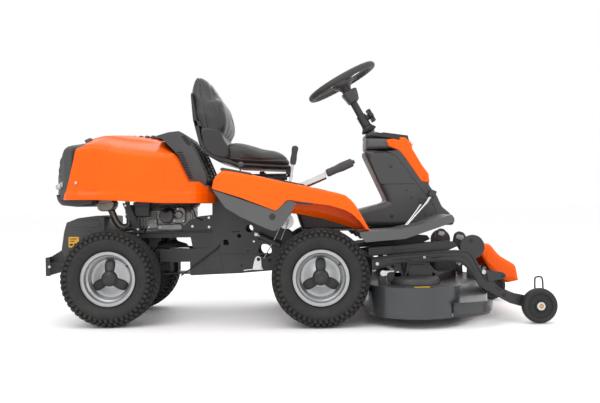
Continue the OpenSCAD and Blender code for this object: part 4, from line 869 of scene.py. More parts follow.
# A cushion before it is filled: a slab with deep round rims; the sitting face is dished, its long sides drawn in
def cushionForm(name, outline, edge, dish):
    outline = rounded(shiftX(outline, frontAxle), 26, 7)
    points, faces = slabBody(outline, -seat["halfWidth"], seat["halfWidth"], edge, 9)
    points = dish(np.asarray(points))
    piece = makePiece(name, points, faces, vinyl, "seat", "seat_vinyl", 80)
    made = piece.modifiers.new("voxels", "REMESH")
    made.mode, made.voxel_size, made.use_smooth_shade = "VOXEL", seat["voxel"] * mm, True
    applyAll(piece)
    return piece


# Bakes the modifiers of a piece into its mesh
def applyAll(piece):
    graph = bpy.context.evaluated_depsgraph_get()
    mesh = bpy.data.meshes.new_from_object(piece.evaluated_get(graph), depsgraph=graph)
    old = piece.data
    piece.modifiers.clear()
    piece.data = mesh
    if not mesh.materials:
        mesh.materials.append(old.materials[0])
    mesh.shade_smooth()


def coordinates(mesh):
    data = np.empty(len(mesh.vertices) * 3)
    mesh.vertices.foreach_get("co", data)
    return data.reshape(-1, 3)


# Fills a cushion by cloth simulation, then keeps every point within a set distance of where it began
def fill(piece, cap):
    start = coordinates(piece.data)
    cloth = piece.modifiers.new("cloth", "CLOTH")
    cloth.settings.use_pressure = True
    cloth.settings.uniform_pressure_force = seat["pressure"]
    cloth.settings.effector_weights.gravity = 0
    cloth.settings.tension_stiffness, cloth.settings.compression_stiffness = 25, 25
    cloth.point_cache.frame_end = seat["frames"]
    for step in range(1, seat["frames"] + 1):
        bpy.context.scene.frame_set(step)
    applyAll(piece)
    bpy.context.scene.frame_set(1)
    end = coordinates(piece.data)
    move = end - start
    length = np.linalg.norm(move, axis=1, keepdims=True)
    # far moves are squeezed towards the cap by cap * tanh(length / cap)
    end = start + move / (length + 1e-9) * (cap * mm) * np.tanh(length / (cap * mm))
    piece.data.vertices.foreach_set("co", end.ravel())
    piece.data.update()
    relax = piece.modifiers.new("relax", "SMOOTH")
    relax.factor, relax.iterations = 0.5, 6
    applyAll(piece)
    fine = piece.modifiers.new("finer", "SUBSURF")
    fine.levels = fine.render_levels = 1
    applyAll(piece)


def dishCushion(p):
    x, y, z = p[:, 0] - frontAxle, p[:, 1], p[:, 2]
    top = smoothStep(z, 690, 730)
    hollow = smoothStep(-np.abs(y), -175, -60) * smoothStep(-x, 150, 220) * smoothStep(x, -400, -340)
    waist = 1 - 0.06 * smoothStep(-x, 300, 400)
    nose = 0.05 * smoothStep(x, -180, -117)
    return np.stack([p[:, 0], y * (waist - nose), z - 14 * hollow * top], 1)


def dishBack(p):
    x, y, z = p[:, 0] - frontAxle, p[:, 1], p[:, 2]
    line = np.interp(z, [780, 846, 892, 966, 1041, 1080], [-416, -385, -389, -411, -461, -510])
    front = smoothStep(x, line - 60, line - 12)
    hollow = smoothStep(-np.abs(y), -160, -112) * smoothStep(z, 800, 840) * smoothStep(-z, -1010, -960)
    taper = 1 - 0.20 * smoothStep(z, 900, 1085) - 0.07 * smoothStep(-z, -860, -780)
    return np.stack([p[:, 0] - 26 * hollow * front, y * taper, z], 1)


# Drops points onto a piece along a direction and lifts them off it again
def surfaceLine(piece, path, towards, lift):
    graph = bpy.context.evaluated_depsgraph_get()
    solid = piece.evaluated_get(graph)
    found = []
    for point in path:
        hit, place, normal, _ = solid.ray_cast(Vector(point) * mm, Vector(towards))
        if hit:
            found.append(np.array(place) / mm + np.array(normal) * lift)
    return np.array(found)


def seamOn(name, piece, path, towards, radius=2.4, lift=0.4):
    line = surfaceLine(piece, spaced(path, 60), towards, lift)
    if len(line) > 6:
        line = spaced(line, 60)
        body = tubeBody(line, radius, 8)
        makePiece(name, *body, thread, "seat", "seat_vinyl")


# A sewn channel: the skin sinks towards a line on the piece, by depth * exp(-(distance / width) squared)
def pressChannel(piece, centre, depth, width):
    p = coordinates(piece.data) / mm
    d = centre(p)
    normals = np.empty(len(piece.data.vertices) * 3)
    piece.data.vertices.foreach_get("normal", normals)
    p = p - normals.reshape(-1, 3) * (depth * np.exp(-(d / width) ** 2))[:, None]
    piece.data.vertices.foreach_set("co", (p * mm).ravel())
    piece.data.update()


def makeSeat():
    fx = frontAxle
    cushion = cushionForm("seatCushion", seat["cushion"], 34, dishCushion)
    fill(cushion, seat["cap"])
    # channels: two along the sitting face and one across its rear third
    pressChannel(cushion, lambda p: np.where(p[:, 2] > 715, np.abs(np.abs(p[:, 1]) - 128), 99), 5.0, 5.0)
    pressChannel(cushion, lambda p: np.where((p[:, 2] > 715) & (np.abs(p[:, 1]) < 128), np.abs(p[:, 0] - fx + 250),
                                             99), 4.0, 5.0)
    pressChannel(cushion, lambda p: np.where(np.abs(p[:, 1]) > 150, np.abs(p[:, 2]
                                             - (700 + 0.02 * (p[:, 0] - fx + 250))), 99), 2.5, 3.5)
    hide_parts("seat_cushion")
    back = cushionForm("seatBackrest", seat["back"], 34, dishBack)
    fill(back, seat["cap"])
    pressChannel(back, lambda p: np.where(p[:, 0] - fx > -470 - 0.35 * (p[:, 2] - 900), np.abs(np.abs(p[:, 1]) - 118),
                                          99), 5.0, 5.0)
    pressChannel(back, lambda p: np.where((p[:, 0] - fx > -480) & (np.abs(p[:, 1]) < 118), np.abs(p[:, 2] - 905), 99),
                 4.0, 5.0)
    pressChannel(back, lambda p: np.where(np.abs(p[:, 1]) > 90, np.abs(p[:, 0] - fx + np.interp(p[:, 2],
                                          [780, 850, 1000, 1080], [472, 478, 505, 516])), 99), 3.2, 4.0)
    pressChannel(back, lambda p: np.where(np.abs(p[:, 1]) > 90, np.abs(p[:, 0] - fx + np.interp(p[:, 2],
                                          [780, 850, 900, 985, 1080], [430, 424, 430, 452, 480])), 99), 3.0, 4.0)
    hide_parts("seat_backrest")
    for side in (-1, 1):
        word = "right" if side < 0 else "left"
        sideways = (0, -side, 0)
        far = side * 400
        line = smoothPath([(fx - 395, far, 712), (fx - 330, far, 704), (fx - 240, far, 697), (fx - 150, far, 693)], 8)
        seamOn(f"cushionWelt_{word}", cushion, line, sideways)
        line = smoothPath([(fx - 476, far, 810), (fx - 486, far, 880), (fx - 503, far, 985), (fx - 515, far, 1056)],
                          8)
        seamOn(f"backWelt_{word}", back, line, sideways)
    # moulded shell behind and under the upholstery, and the dark joint strip
    shell = slabBody(rounded(shiftX([(-118, 662), (-356, 676), (-453, 706), (-491, 731), (-514, 773), (-540, 880),
                                     (-548, 990), (-541, 1000), (-520, 884), (-500, 785), (-470, 752), (-430, 724),
                                     (-352, 690), (-118, 674)], fx), 12, 5), -216, 216, 5)
    makePiece("seatShell", *shell, blackAbs, "seat", "black_plastic", stands=("seat_pan",))
    bolster = slabBody(rounded(shiftX([(-508, 846), (-424, 842), (-404, 786), (-386, 764), (-386, 704), (-448, 716),
                                       (-494, 750)], fx), 20, 6), -224, 224, 12, 6)
    makePiece("seatBolster", *bolster, vinyl, "seat", "seat_vinyl", 60)
    strips = [slabBody(rounded(shiftX([(-540, 878), (-508, 872), (-500, 850), (-530, 850)], fx), 4), side * 214 - 2,
                       side * 214 + 2, 1) for side in (-1, 1)]
    makePiece("seatJointStrips", *joined(*strips), blackAbs, "seat", "black_plastic")
    knob = latheBody([(0, 0), (20, 0), (22, 3), (22, 12), (18, 15), (8, 17), (8, 26), (0, 26)], (fx - 220, -150, 606),
                     "z", 28, False)
    makePiece("seatStopKnob", *knob, blackAbs, "seat_base", "black_plastic")
    rubbers = joined(*[latheBody([(0, 0), (11, 0), (12, 2), (11, 14), (0, 14)], (fx - x, side * 70, 642), "z", 24,
                                 False) for x in (380, 250) for side in (-1, 1)])
    makePiece("seatRubberFeet", *rubbers, beltRubber, "seat_base", "black_plastic")


makeSeat()
print("seat made")

column = {"foot": np.array([363.0, 0.0, 838.0]), "tilt": 28.5, "wheelAt": 255, "knobAt": 60}


# Points drawn round the column (its axis up) set on it at s along
def onColumn(points, s=0.0):
    p = np.asarray(points, float) + [0, 0, s]
    w = math.radians(-column["tilt"])
    x = p[:, 0] * math.cos(w) + p[:, 2] * math.sin(w)
    z = -p[:, 0] * math.sin(w) + p[:, 2] * math.cos(w)
    return np.stack([x, p[:, 1], z], 1) + column["foot"]


def makeSteering():
    # rim: a ring with 44 shallow finger scallops on its underside
    steps, around = 240, 28
    a = np.linspace(0, 2 * math.pi, steps, endpoint=False)[:, None]
    b = np.linspace(0, 2 * math.pi, around, endpoint=False)[None, :]
    scallop = 0.7 * np.maximum(np.cos(a * 44), 0) * np.maximum(-np.sin(b), 0)
    r = 14.9 - scallop - 0.5 * np.maximum(-np.cos(b), 0)
    radius = 157.5 + r * np.cos(b)
    points = np.stack([radius * np.cos(a), radius * np.sin(a), 6 + r * np.sin(b) * np.ones_like(a)],
                      -1).reshape(-1, 3)
    makePiece("steeringRim", onColumn(points, column["wheelAt"]), gridFaces(steps, around, wrapRows=True), gripRubber,
              "steering_wheel", "black_plastic", 60, stands=("steering_wheel",))
    # hub: turned, with a domed cap; three flat spokes that widen towards both ends
    hub = latheBody(smoothPath([(0, -56), (12, -56), (20, -54), (24, -36), (34, -22), (47, -12), (52, 0), (48, 10),
                                (38, 15), (20, 18), (0, 18.5)], 5), (0, 0, 0), "z", 64, False)
    makePiece("steeringHub", onColumn(hub[0], column["wheelAt"]), hub[1], greyPolypropylene, "steering_wheel",
              "black_plastic", 40)
    spokes = []
    for w in (math.pi, math.pi / 3, -math.pi / 3):
        u = np.linspace(0, 1, 16)
        length = 36 + 108 * u
        half = 20 - 9 * np.sin(u * math.pi) ** 0.8 + 6 * smoothStep(u, 0.75, 1)
        high = 4 + 3 * u * (1 - u)
        c = np.linspace(0, 2 * math.pi, 24, endpoint=False)
        rings = np.stack([np.repeat(length[:, None], 24, 1), half[:, None] * np.sign(np.cos(c))
                          * np.abs(np.cos(c)) ** 0.5, 2 + 2 * u[:, None] + high[:, None] * np.sign(np.sin(c))
                          * np.abs(np.sin(c)) ** 0.6], -1)
        x = rings[..., 0] * math.cos(w) - rings[..., 1] * math.sin(w)
        y = rings[..., 0] * math.sin(w) + rings[..., 1] * math.cos(w)
        spokes.append(ringSolid(np.stack([x, y, rings[..., 2]], -1)))
    points, faces = joined(*spokes)
    makePiece("steeringSpokes", onColumn(points, column["wheelAt"]), faces, greyPolypropylene, "steering_wheel",
              "black_plastic", 50)
    cap = latheBody([(0, 0), (30, 0), (31, 1), (29, 2.5), (12, 4), (0, 4.2)], (0, 0, 17), "z", 48, False)
    makePiece("steeringHubCap", onColumn(cap[0], column["wheelAt"]), cap[1], blackAbs, "steering_wheel",
              "black_plastic")
    # boxy cowl under the wheel, carried by the sliding tube
    c = np.linspace(0, 2 * math.pi, 40, endpoint=False)
    rings = []
    for s, fwd, aft, wide in ((150, 22, 20, 24), (154, 30, 24, 32), (176, 38, 27, 38), (200, 44, 32, 44),
                              (206, 42, 30, 42), (209, 34, 24, 34)):
        x = np.where(np.cos(c) > 0, fwd, aft) * np.sign(np.cos(c)) * np.abs(np.cos(c)) ** 0.6
        y = wide * np.sign(np.sin(c)) * np.abs(np.sin(c)) ** 0.6
        rings.append(np.stack([x, y, np.full_like(c, s)], 1))
    cowl = ringSolid(rings)
    makePiece("columnCowl", onColumn(cowl[0]), cowl[1], greyPolypropylene, "upper_column", "black_plastic", 40)
    # lobed clamping knob on its stud
    w = np.linspace(0, 2 * math.pi, 96, endpoint=False)
    lobe = 30 + 5.2 * np.cos(6 * w)
    rings = [np.stack([np.full_like(w, x), lobe * k * np.cos(w), lobe * k * np.sin(w)], 1)
             for x, k in ((31, 0.5), (31, 0.93), (33, 1.0), (47, 1.0), (50, 0.94), (51, 0.5))]
    points, faces = ringSolid(rings)
    stud = latheBody([(0, 18), (4.8, 18), (4.8, 33), (0, 33)], (0, 0, 0), "x", 20, False)
    makePiece("clampKnob", onColumn(points, column["knobAt"]), faces, blackAbs, "lock_knob", "black_plastic", 40,
              stands=("lock_knob",))
    makePiece("clampStud", onColumn(stud[0], column["knobAt"]), stud[1], zincSteel, "lock_knob", "bare_steel")


makeSteering()

dash = {"stem": [(157, 398), (157, 462), (172, 474), (290, 503), (311, 512), (303, 535), (215, 727), (219, 744),
                 (424, 744), (436, 719), (501, 619), (505, 578), (536, 537), (558, 483), (593, 455), (615, 415),
                 (610, 400)], "head": [(220, 747), (221, 790), (222, 818), (249, 828), (352, 813), (404, 797),
                                       (429, 770), (422, 747)], "inlay": [(372, 801), (400, 799), (427, 771),
        (433, 726), (501, 634), (505, 594), (472, 600), (405, 690), (380, 726), (368, 768)], }


def makeDash():
    fx = frontAxle
    body = slabBody(rounded(shiftX(dash["stem"], fx), 12, 5), -104, 104, 26, 8)
    makePiece("pedestalBody", *body, greyPolypropylene, "front", "dark_plastic", 40, stands=("pedestal",))
    # side cheeks, proud by 2 mm, each with a raised panel, screws and dots
    for side in (-1, 1):
        y0, y1 = (100, 106) if side > 0 else (-106, -100)
        word = "right" if side < 0 else "left"
        cheek = slabBody(rounded(shiftX([(252, 740), (306, 740), (352, 716), (392, 664), (468, 558), (500, 520),
                                         (524, 478), (534, 420), (612, 418), (590, 455), (556, 484), (533, 537),
                                         (500, 580), (472, 600), (405, 690), (372, 742)], fx), 8), y0, y1, 3.5, 4)
        makePiece(f"pedestalRib_{word}", *cheek, greyPolypropylene, "front", "dark_plastic", 40)
        panel = slabBody(rounded(shiftX([(236, 700), (250, 728), (296, 728), (340, 704), (382, 650), (440, 588),
                                         (282, 588)], fx), 8), y0, y1 - side * 0.8 if side > 0 else y1, 3, 4)
        makePiece(f"pedestalPanel_{word}", *panel, greyPolypropylene, "front", "dark_plastic", 40)
        screws = [boltBody(fx + x, side * 105.5, z, 15, side, 2.4) for x, z in ((330, 667), (330, 446))]
        makePiece(f"pedestalScrews_{word}", *joined(*screws), powderSteel, "front", "black_steel")
        dots = [latheBody([(0, side * 0.2), (4, side * 0.2), (4.6, side * 1.0), (0, side * 1.2)],
                          (fx + x, side * 104.2, z), "y", 16, False) for x, z in ((398, 560), (420, 526), (478, 452))]
        makePiece(f"pedestalDots_{word}", *joined(*dots), blackAbs, "front", "black_plastic")
    head = slabBody(rounded(shiftX([(220, 748), (221, 790), (224, 800), (300, 800), (404, 786), (429, 768),
                                    (422, 748)], fx), 8, 5), -99, 99, 22, 7)
    makePiece("dashBand", *head, paleAbs, "front", "dark_plastic", 40, stands=("dash_shroud",))
    cap = slabBody(rounded(shiftX([(220, 797), (222, 818), (249, 829), (352, 814), (406, 799), (428, 772), (424, 768),
                                   (402, 786), (300, 801)], fx), 6, 5), -95, 95, 20, 7)
    makePiece("dashCap", *cap, blackAbs, "front", "dark_plastic", 40)
    inlay = slabBody(rounded(shiftX(dash["inlay"], fx), 6, 5), -101.5, 101.5, 12, 6)
    makePiece("dashInlay", *inlay, orangeAbs, "front", "orange_plastic", 40, stands=("dash_inlay",))
    lamp = slabBody(rounded(shiftX([(398, 790), (416, 794), (436, 774), (436, 760), (420, 768)], fx), 5, 5), -84, 84,
                    5)
    makePiece("headlampLens", *lamp, lens, "front", "grey_plastic", 40)
    collar = latheBody(smoothPath([(21, -4), (35, 2), (34, 10), (28, 17), (23, 26), (22.4, 30), (21.5, 28)], 4),
                       (0, 0, 0), "z", 48)
    makePiece("columnBellows", onColumn(collar[0]), collar[1], beltRubber, "front", "black_plastic", 50)
    # a plain hour dial and an ignition key on the dash
    dial = latheBody([(0, 0), (17, 0), (18, 1.5), (17, 3), (14.5, 3.2), (14, 1.8), (0, 1.6)], (0, 0, 0), "z", 40,
                     False)
    place = leaned(dial[0], 8.3, np.zeros(3)) + [fx + 268, -52, 826.4]
    makePiece("hourDial", place, dial[1], zincSteel, "front", "bare_steel")
    key = joined(latheBody([(0, 0), (12, 0), (12, 3), (8, 4), (0, 4)], (fx + 270, 52, 825.5), "z", 28, False),
                 slabBody(rounded([(fx + 266, 829), (fx + 274, 829), (fx + 276, 841), (fx + 264, 841)], 2), 50, 54,
                          1))
    makePiece("ignitionKey", *key, blackAbs, "front", "black_plastic")


makeDash()
print("dash and steering made")


# One small disc seen from the side: a screw head, a stud end or a drilled hole drawn as a dark disc of painted shade
def discBody(x, y, z, radius, height=1.2, side=-1, steps=24):
    profile = [[0, -1], [radius, -1], [radius, height * 0.6], [radius * 0.92, height], [0, height]]
    return latheBody([[r, side * a] for r, a in profile], (x, y, z), "y", steps, False)


engineSizes = {"pipe": 15, "boltWidth": 13}


# Silencer box, exhaust pipe, filter box, brackets and castings on the engine
def makeEngineBay():
    box = slabBody(rounded([(-868, 498), (-864, 548), (-800, 552), (-792, 512), (-806, 490), (-850, 486)], 9), -134,
                   -48, 6)
    seam = slabBody(rounded([(-871, 517), (-871, 522), (-791, 526), (-791, 521)], 1.5), -137, -50, 1.2)
    makePiece("silencerBox", *joined(box, seam), bluedSteel, "front", "bare_steel", 40)
    path = smoothPath([(-856, -76, 536), (-824, -64, 494), (-803, -60, 444), (-780, -60, 417), (-752, -62, 416),
                       (-738, -64, 434), (-738, -64, 470)], 8)
    clamp = latheBody([(engineSizes["pipe"], -7), (20, -7), (20, 7), (engineSizes["pipe"], 7)], (-738, -64, 462), "z",
                      28)
    makePiece("exhaustPipe", *joined(tubeBody(path, engineSizes["pipe"], 20), clamp), bluedSteel, "front",
              "bare_steel", 50)
    cowl = slabBody(rounded([(-748, 470), (-740, 514), (-456, 516), (-448, 486), (-470, 468)], 10), -92, 92, 8)
    filterBox = slabBody(rounded([(-702, 462), (-700, 520), (-642, 524), (-632, 514), (-636, 458)], 8), -136, -70, 5)
    lid = slabBody(rounded([(-706, 505), (-705, 526), (-638, 530), (-630, 522), (-630, 508)], 6), -139, -68, 3)
    makePiece("filterBox", *joined(cowl, filterBox, lid), blackAbs, "front", "dark_plastic", 40)
    brace = slabBody(rounded([(-752, 522), (-722, 522), (-668, 398), (-698, 396)], 4), -148, -142, 1.5)
    foot = slabBody(rounded([(-704, 388), (-704, 402), (-656, 402), (-656, 388)], 3), -148, -96, 1.5)
    gusset = slabBody(rounded([(-498, 394), (-496, 404), (-460, 438), (-416, 458), (-352, 464), (-352, 316),
                               (-446, 316), (-460, 392)], 4), -123, -117, 1.5)
    sleeve = latheBody([(18, 386), (27, 386), (27, 352), (34, 344), (74, 331), (80, 322), (78, 317), (18, 317)],
                       (-565, 0, 0), "z", 48)
    mount = slabBody(rounded([(-652, 330), (-652, 386), (-592, 386), (-592, 352), (-610, 340), (-612, 318),
                              (-640, 318)], 4), -84, 84, 3)
    tray = tubeBody([(-702, -127, 389), (-356, -127, 389)], 4.5, 12)
    makePiece("engineBrackets", *joined(brace, foot, gusset, sleeve, mount, tray), powderSteel, "front",
              "black_steel", 40)
    castings = [slabBody(rounded([(-532, 428), (-536, 470), (-520, 500), (-486, 502), (-474, 480), (-478, 430)], 10),
                         -128, -96, 6), slabBody(rounded([(-604, 398), (-604, 424), (-500, 426), (-480, 398)], 7),
                                                 -118, -96, 4), slabBody(rounded([(-648, 404), (-646, 448),
                (-604, 452), (-600, 404)], 9), -122, -96, 5), latheBody([(0, -140), (14, -140), (20, -134),
                (20, -120), (30, -118), (30, -94), (0, -94)], (-505, 0, 466), "y", 36, False), latheBody([(36, -112),
                (42, -110), (44, -104), (44, -94), (36, -94)], (-552, 0, 463), "y", 48)]
    for i in range(6):
        z = 430 + 9 * i
        castings.append(slabBody(rounded([(-650, z), (-650, z + 3), (-606, z + 3), (-606, z)], 1), -128, -96, 1))
    castings.append(tubeBody(smoothPath([(-478, -106, 470), (-462, -112, 478), (-450, -112, 462), (-452, -108, 430)],
                                        6), 6, 12))
    castings.append(tubeBody(smoothPath([(-600, -112, 500), (-570, -118, 512), (-530, -116, 508), (-508, -110, 490)],
                                        6), 4, 10))
    makePiece("engineCastings", *joined(*castings), castAluminium, "front", "cast_alloy", 40)
    w = engineSizes["boltWidth"]
    bolts = [boltBody(x, y, z, d) for x, y, z, d in ((-690, -126, 378, w), (-526, -128, 440, 9), (-484, -128, 440, 9),
                                                     (-510, -128, 494, 9), (-640, -123, 412, 9), (-612, -123, 440, 9),
                                                     (-592, -118, 411, 9), (-738, -148, 512, w), (-684, -148, 404, w),
                                                     (-372, -123, 452, w), (-372, -123, 410, w), (-446, -123, 414, w),
                                                     (-854, -135, 540, 9))]
    makePiece("engineBolts", *joined(*bolts), zincSteel, "front", "bare_steel")
    wires = [tubeBody(smoothPath([(-700, -130, 480), (-722, -132, 450), (-716, -128, 420), (-690, -128, 404)], 6), 3,
                      8), tubeBody(smoothPath([(-632, -126, 500), (-590, -134, 516), (-540, -134, 508),
                                               (-500, -128, 512)], 6), 3, 8), tubeBody(smoothPath([(-470, -122, 500),
             (-440, -124, 486), (-430, -124, 455), (-400, -126, 440)], 6), 3.5, 8)]
    makePiece("engineHoses", *joined(*wires), beltRubber, "front", "belt_rubber", 50)


makeEngineBay()


# On the frame side: damper, steering rods, drilled holes and a cable
def makeFrameDetails():
    y = -132
    damper = tubeBody([(-140, y - 8, 365), (-56, y - 8, 326)], 14, 24)
    collar = tubeBody([(-146, y - 8, 368), (-138, y - 8, 364)], 17, 24)
    bead = slabBody(rounded([(-344, 284), (-344, 290), (-108, 290), (-108, 284)], 2), -126.6, -120, 1)
    lip = slabBody(rounded([(-452, 196), (-452, 203), (-222, 209), (-222, 202)], 2), -128, -120, 1.2)
    step = slabBody(rounded([(-400, 214), (-384, 290), (-330, 314), (-322, 262), (-306, 214)], 6), -126.8, -120, 1.2)
    makePiece("frameDamper", *joined(damper, collar, bead, lip, step), powderSteel, "front", "black_steel", 40)
    rods = [tubeBody([(-45, -150, 424), (-78, -150, 353), (-129, -138, 266)], 2.2, 8),
            tubeBody([(-20, -150, 420), (-51, -150, 348)], 2.2, 8), tubeBody([(-166, y - 8, 378), (-140, y - 8, 366)],
            6, 14), slabBody(rounded([(-181, 216), (-174, 250), (-167, 272), (-152, 279), (-141, 270), (-139, 232),
                                      (-130, 216)], 6), -136, -132, 1)]
    bolts = [boltBody(-160, y - 12, 375, 20, -1, 5), boltBody(-172, -126, 343, 12, -1, 4),
             boltBody(-27, -150, 430, 16, -1, 5), boltBody(-140, -136, 224, 9)]
    rods.append(tubeBody([(-220, -130, 214), (-180, -130, 218)], 2.5, 8))
    makePiece("frameRods", *joined(*rods, *bolts), zincSteel, "front", "bare_steel", 40)
    # the holes and the slot are dark discs and a dark sheet of painted shade; the cable is real rubber
    holes = [discBody(x, -125.2, z, r, 0.6) for x, z, r in ((-104, 257, 9), (-374, 239, 9), (-338, 238, 5),
                                                            (-229, 236, 5), (-60, 290, 7), (-76, 262, 6),
                                                            (-150, 240, 5), (-200, 300, 5))]
    holes.append(discBody(-153, -136.1, 263, 8, 0.5))
    slot = slabBody(rounded([(-272, 383), (-272, 388), (-234, 392), (-234, 387)], 2), -126, -124, 0.3)
    cable = tubeBody(smoothPath([(-320, -118, 336), (-338, -133, 312), (-400, -136, 266), (-440, -136, 236),
                                 (-498, -132, 196)], 6), 3.2, 8)
    makePiece("frameHoles", *joined(*holes, slot, cable), beltRubber, "front", "black_plastic", 40)
    screws = []
    for side in (-1, 1):
        screws += [discBody(-79, side * 394.6, 455, 13, 2.5, side), boltBody(-79, side * 396.5, 455, 12, side, 3)]
    makePiece("sidePanelScrews", *joined(*screws), blackAbs, "front", "black_plastic")


makeFrameDetails()


# On the rear cover: raised side fields, ribs, a plain yellow label and screws; all turn with the bogie
def makeRearCover():
    parts = []
    for side in (-1, 1):
        field = slabBody(rounded([(-1000, 300), (-1006, 322), (-997, 398), (-905, 412), (-872, 384), (-858, 348),
                                  (-876, 300)], 9), -171, -160, 3)
        upper = slabBody(rounded([(-986, 420), (-978, 436), (-936, 448), (-872, 454), (-846, 446), (-842, 420),
                                  (-880, 416)], 8), -169.8, -160, 2)
        parts += [onSide(field, side), onSide(upper, side)]
    ribs = [slabBody(rounded([(-1012, 300 + 14 * i), (-1012, 305 + 14 * i), (-1000, 305 + 14 * i),
                              (-1000, 300 + 14 * i)], 1.5), -110, 110, 1.2) for i in range(2, 7)]
    makePiece("rearCoverFields", *joined(*parts, *ribs), greyPolypropylene, "bogie", "dark_plastic", 40)
    label = slabBody(rounded([(-984, 331), (-984, 377), (-938, 377), (-938, 331)], 3), -171.6, -170.5, 0.4)
    makePiece("rearLabel", *label, stickerFilm, "bogie", "dark_plastic")
    bars = [slabBody(rounded([(-979, z), (-979, z + h), (-979 + w, z + h), (-979 + w, z)], 1), -172, -171.4, 0.2)
            for z, h, w in ((366, 4, 30), (356, 4, 22), (338, 10, 14))]
    bars += [slabBody(rounded([(-960, 338), (-960, 348), (-944, 348), (-944, 338)], 1), -172, -171.4, 0.2)]
    makePiece("rearLabelBars", *joined(*bars), blackAbs, "bogie", "dark_plastic")
    bolts = [boltBody(-700, -136.5, 234, 14), boltBody(-672, -136.5, 240, 14), boltBody(-1068, -176, 248, 13)]
    link = tubeBody([(-600, -54, 250), (-640, -120, 252), (-690, -146, 244)], 4, 10)
    makePiece("bogieBolts", *joined(*bolts, link), zincSteel, "bogie", "bare_steel")


makeRearCover()
print("engine bay, frame and rear cover")

deckSizes = {"spindles": ((516, -300), (692, 0), (516, 300)), "shellRadius": 197, "low": 41, "top": 165, "steps": 240}


# Hull of three equal discs: for each direction u the disc centre c furthest along u gives the point c + r u
def hullRing(radius, z, steps=deckSizes["steps"]):
    w = np.linspace(0, 2 * math.pi, steps, endpoint=False)
    u = np.stack([np.cos(w), np.sin(w)], 1)
    c = np.array(deckSizes["spindles"], float)
    best = np.argmax(u @ c.T, axis=1)
    p = c[best] + radius * u
    return np.concatenate([p, np.full((steps, 1), z)], 1)


def ringsOf(profile):
    rings = np.array([hullRing(r, z) for r, z in profile])
    return rings.reshape(-1, 3), gridFaces(len(rings), rings.shape[1])


def makeDeckShell():
    r = deckSizes["shellRadius"]
    outer = [(r - 2, deckSizes["low"]), (r, 43), (r, 50), (r - 3, 54), (r - 8, 57), (r - 10, 62), (r - 11, 100),
             (r - 13, 134), (r - 17, 148), (r - 25, 158), (r - 36, 163), (r - 48, deckSizes["top"])]
    skin = ringsOf(outer)
    piece = makePiece("deckShellSkirt", *skin, deckEnamel, "deck", "grey_steel", 40)
    thicken(piece, 2.5)
    nose = []
    for side in (-1, 1):
        t = np.linspace(0, 1, 14)[:, None]
        path = np.array([[640, side * 452, 0]]) * (1 - t) ** 2 + 2 * t * (1 - t) * np.array([[780, side * 440, 0]])
        path = path + t ** 2 * np.array([[826, side * 330, 0]])
        heights = [42, 48, 52, 84, 96, 100]
        outs = [0, 0, -6, -8, -12, -22]
        way = np.gradient(path[:, :2], axis=0)
        normal = np.stack([way[:, 1], -way[:, 0]], 1) * (-side)
        normal /= np.linalg.norm(normal, axis=1, keepdims=True)
        rows = [np.concatenate([path[:, :2] + normal * -o, np.full((14, 1), h)], 1) for o, h in zip(outs, heights)]
        nose.append((np.array(rows).reshape(-1, 3), gridFaces(6, 14, False, False)))
    piece = makePiece("deckNoseSkirts", *joined(*nose), deckEnamel, "deck", "grey_steel", 40)
    thicken(piece, 2.5)
    fields = []
    for a0, a1 in ((-150, -96), (-88, -52), (52, 88), (96, 150)):
        w = np.radians(np.linspace(a0, a1, 24))
        u = np.stack([np.cos(w), np.sin(w)], 1)
        c = np.array(deckSizes["spindles"][2 if a0 > 0 else 0])
        rows = [np.concatenate([c + (r - inset) * u, np.full((24, 1), z)], 1)
                for z, inset in ((64, 10.5), (67, 7), (122, 8.5), (128, 12.5))]
        fields.append((np.array(rows).reshape(-1, 3), gridFaces(4, 24, False, False)))
    piece = makePiece("deckPressedFields", *joined(*fields), deckEnamel, "deck", "grey_steel", 35)
    thicken(piece, 1.5)
    line = slabBody(rounded([(486, 163.5), (486, 166.5), (548, 168), (548, 165)], 1), -470, -456, 0.5)
    makePiece("deckYellowMark", *line, stickerFilm, "deck", "grey_steel")
    clips = [boltBody(640, side * 452, 52, 10, side, 4) for side in (-1, 1)]
    clips += [tubeBody([(806, side * 385, 44), (820, side * 372, 58), (812, side * 380, 72)], 3, 8)
              for side in (-1, 1)]
    makePiece("deckSkirtClips", *joined(*clips), zincSteel, "deck", "bare_steel")


def makeBeltCovers():
    base = [(59, 165.5), (59, 186), (57, 192), (50, 196), (0.5, 197)]
    lower = ringsOf(base)
    domes, boxes = [], []
    for side in (-1, 1):
        domes.append(latheBody([(0, 197), (40, 197), (84, 195), (96, 190), (102, 180), (104, 166), (0, 166)],
                               (*deckSizes["spindles"][0 if side < 0 else 2], 0), "z", 72, False))
        box = slabBody(rounded([(470, 188), (479, 250), (484, 266), (556, 266), (570, 256), (608, 206), (609, 188)],
                               9), -300, -216, 8)
        facet = slabBody(rounded([(486, 190), (492, 242), (548, 245), (590, 200), (590, 190)], 5), -302, -216, 3)
        shoulder = slabBody(rounded([(461, 186), (474, 212), (616, 212), (620, 186)], 7), -300, -214, 6)
        boxes += [onSide(b, side) for b in (box, facet, shoulder)]
    centre = slabBody(rounded([(634, 188), (635, 258), (646, 268), (714, 267), (734, 250), (752, 188)], 12), -70, 70,
                      10)
    rib = slabBody(rounded([(646, 190), (647, 244), (700, 246), (726, 190)], 6), -72.5, 72.5, 3)
    makePiece("beltCoverMoulding", *joined(lower, *domes, *boxes, centre, rib), greyPolypropylene, "deck",
              "dark_plastic", 40, stands=("belt_covers",))


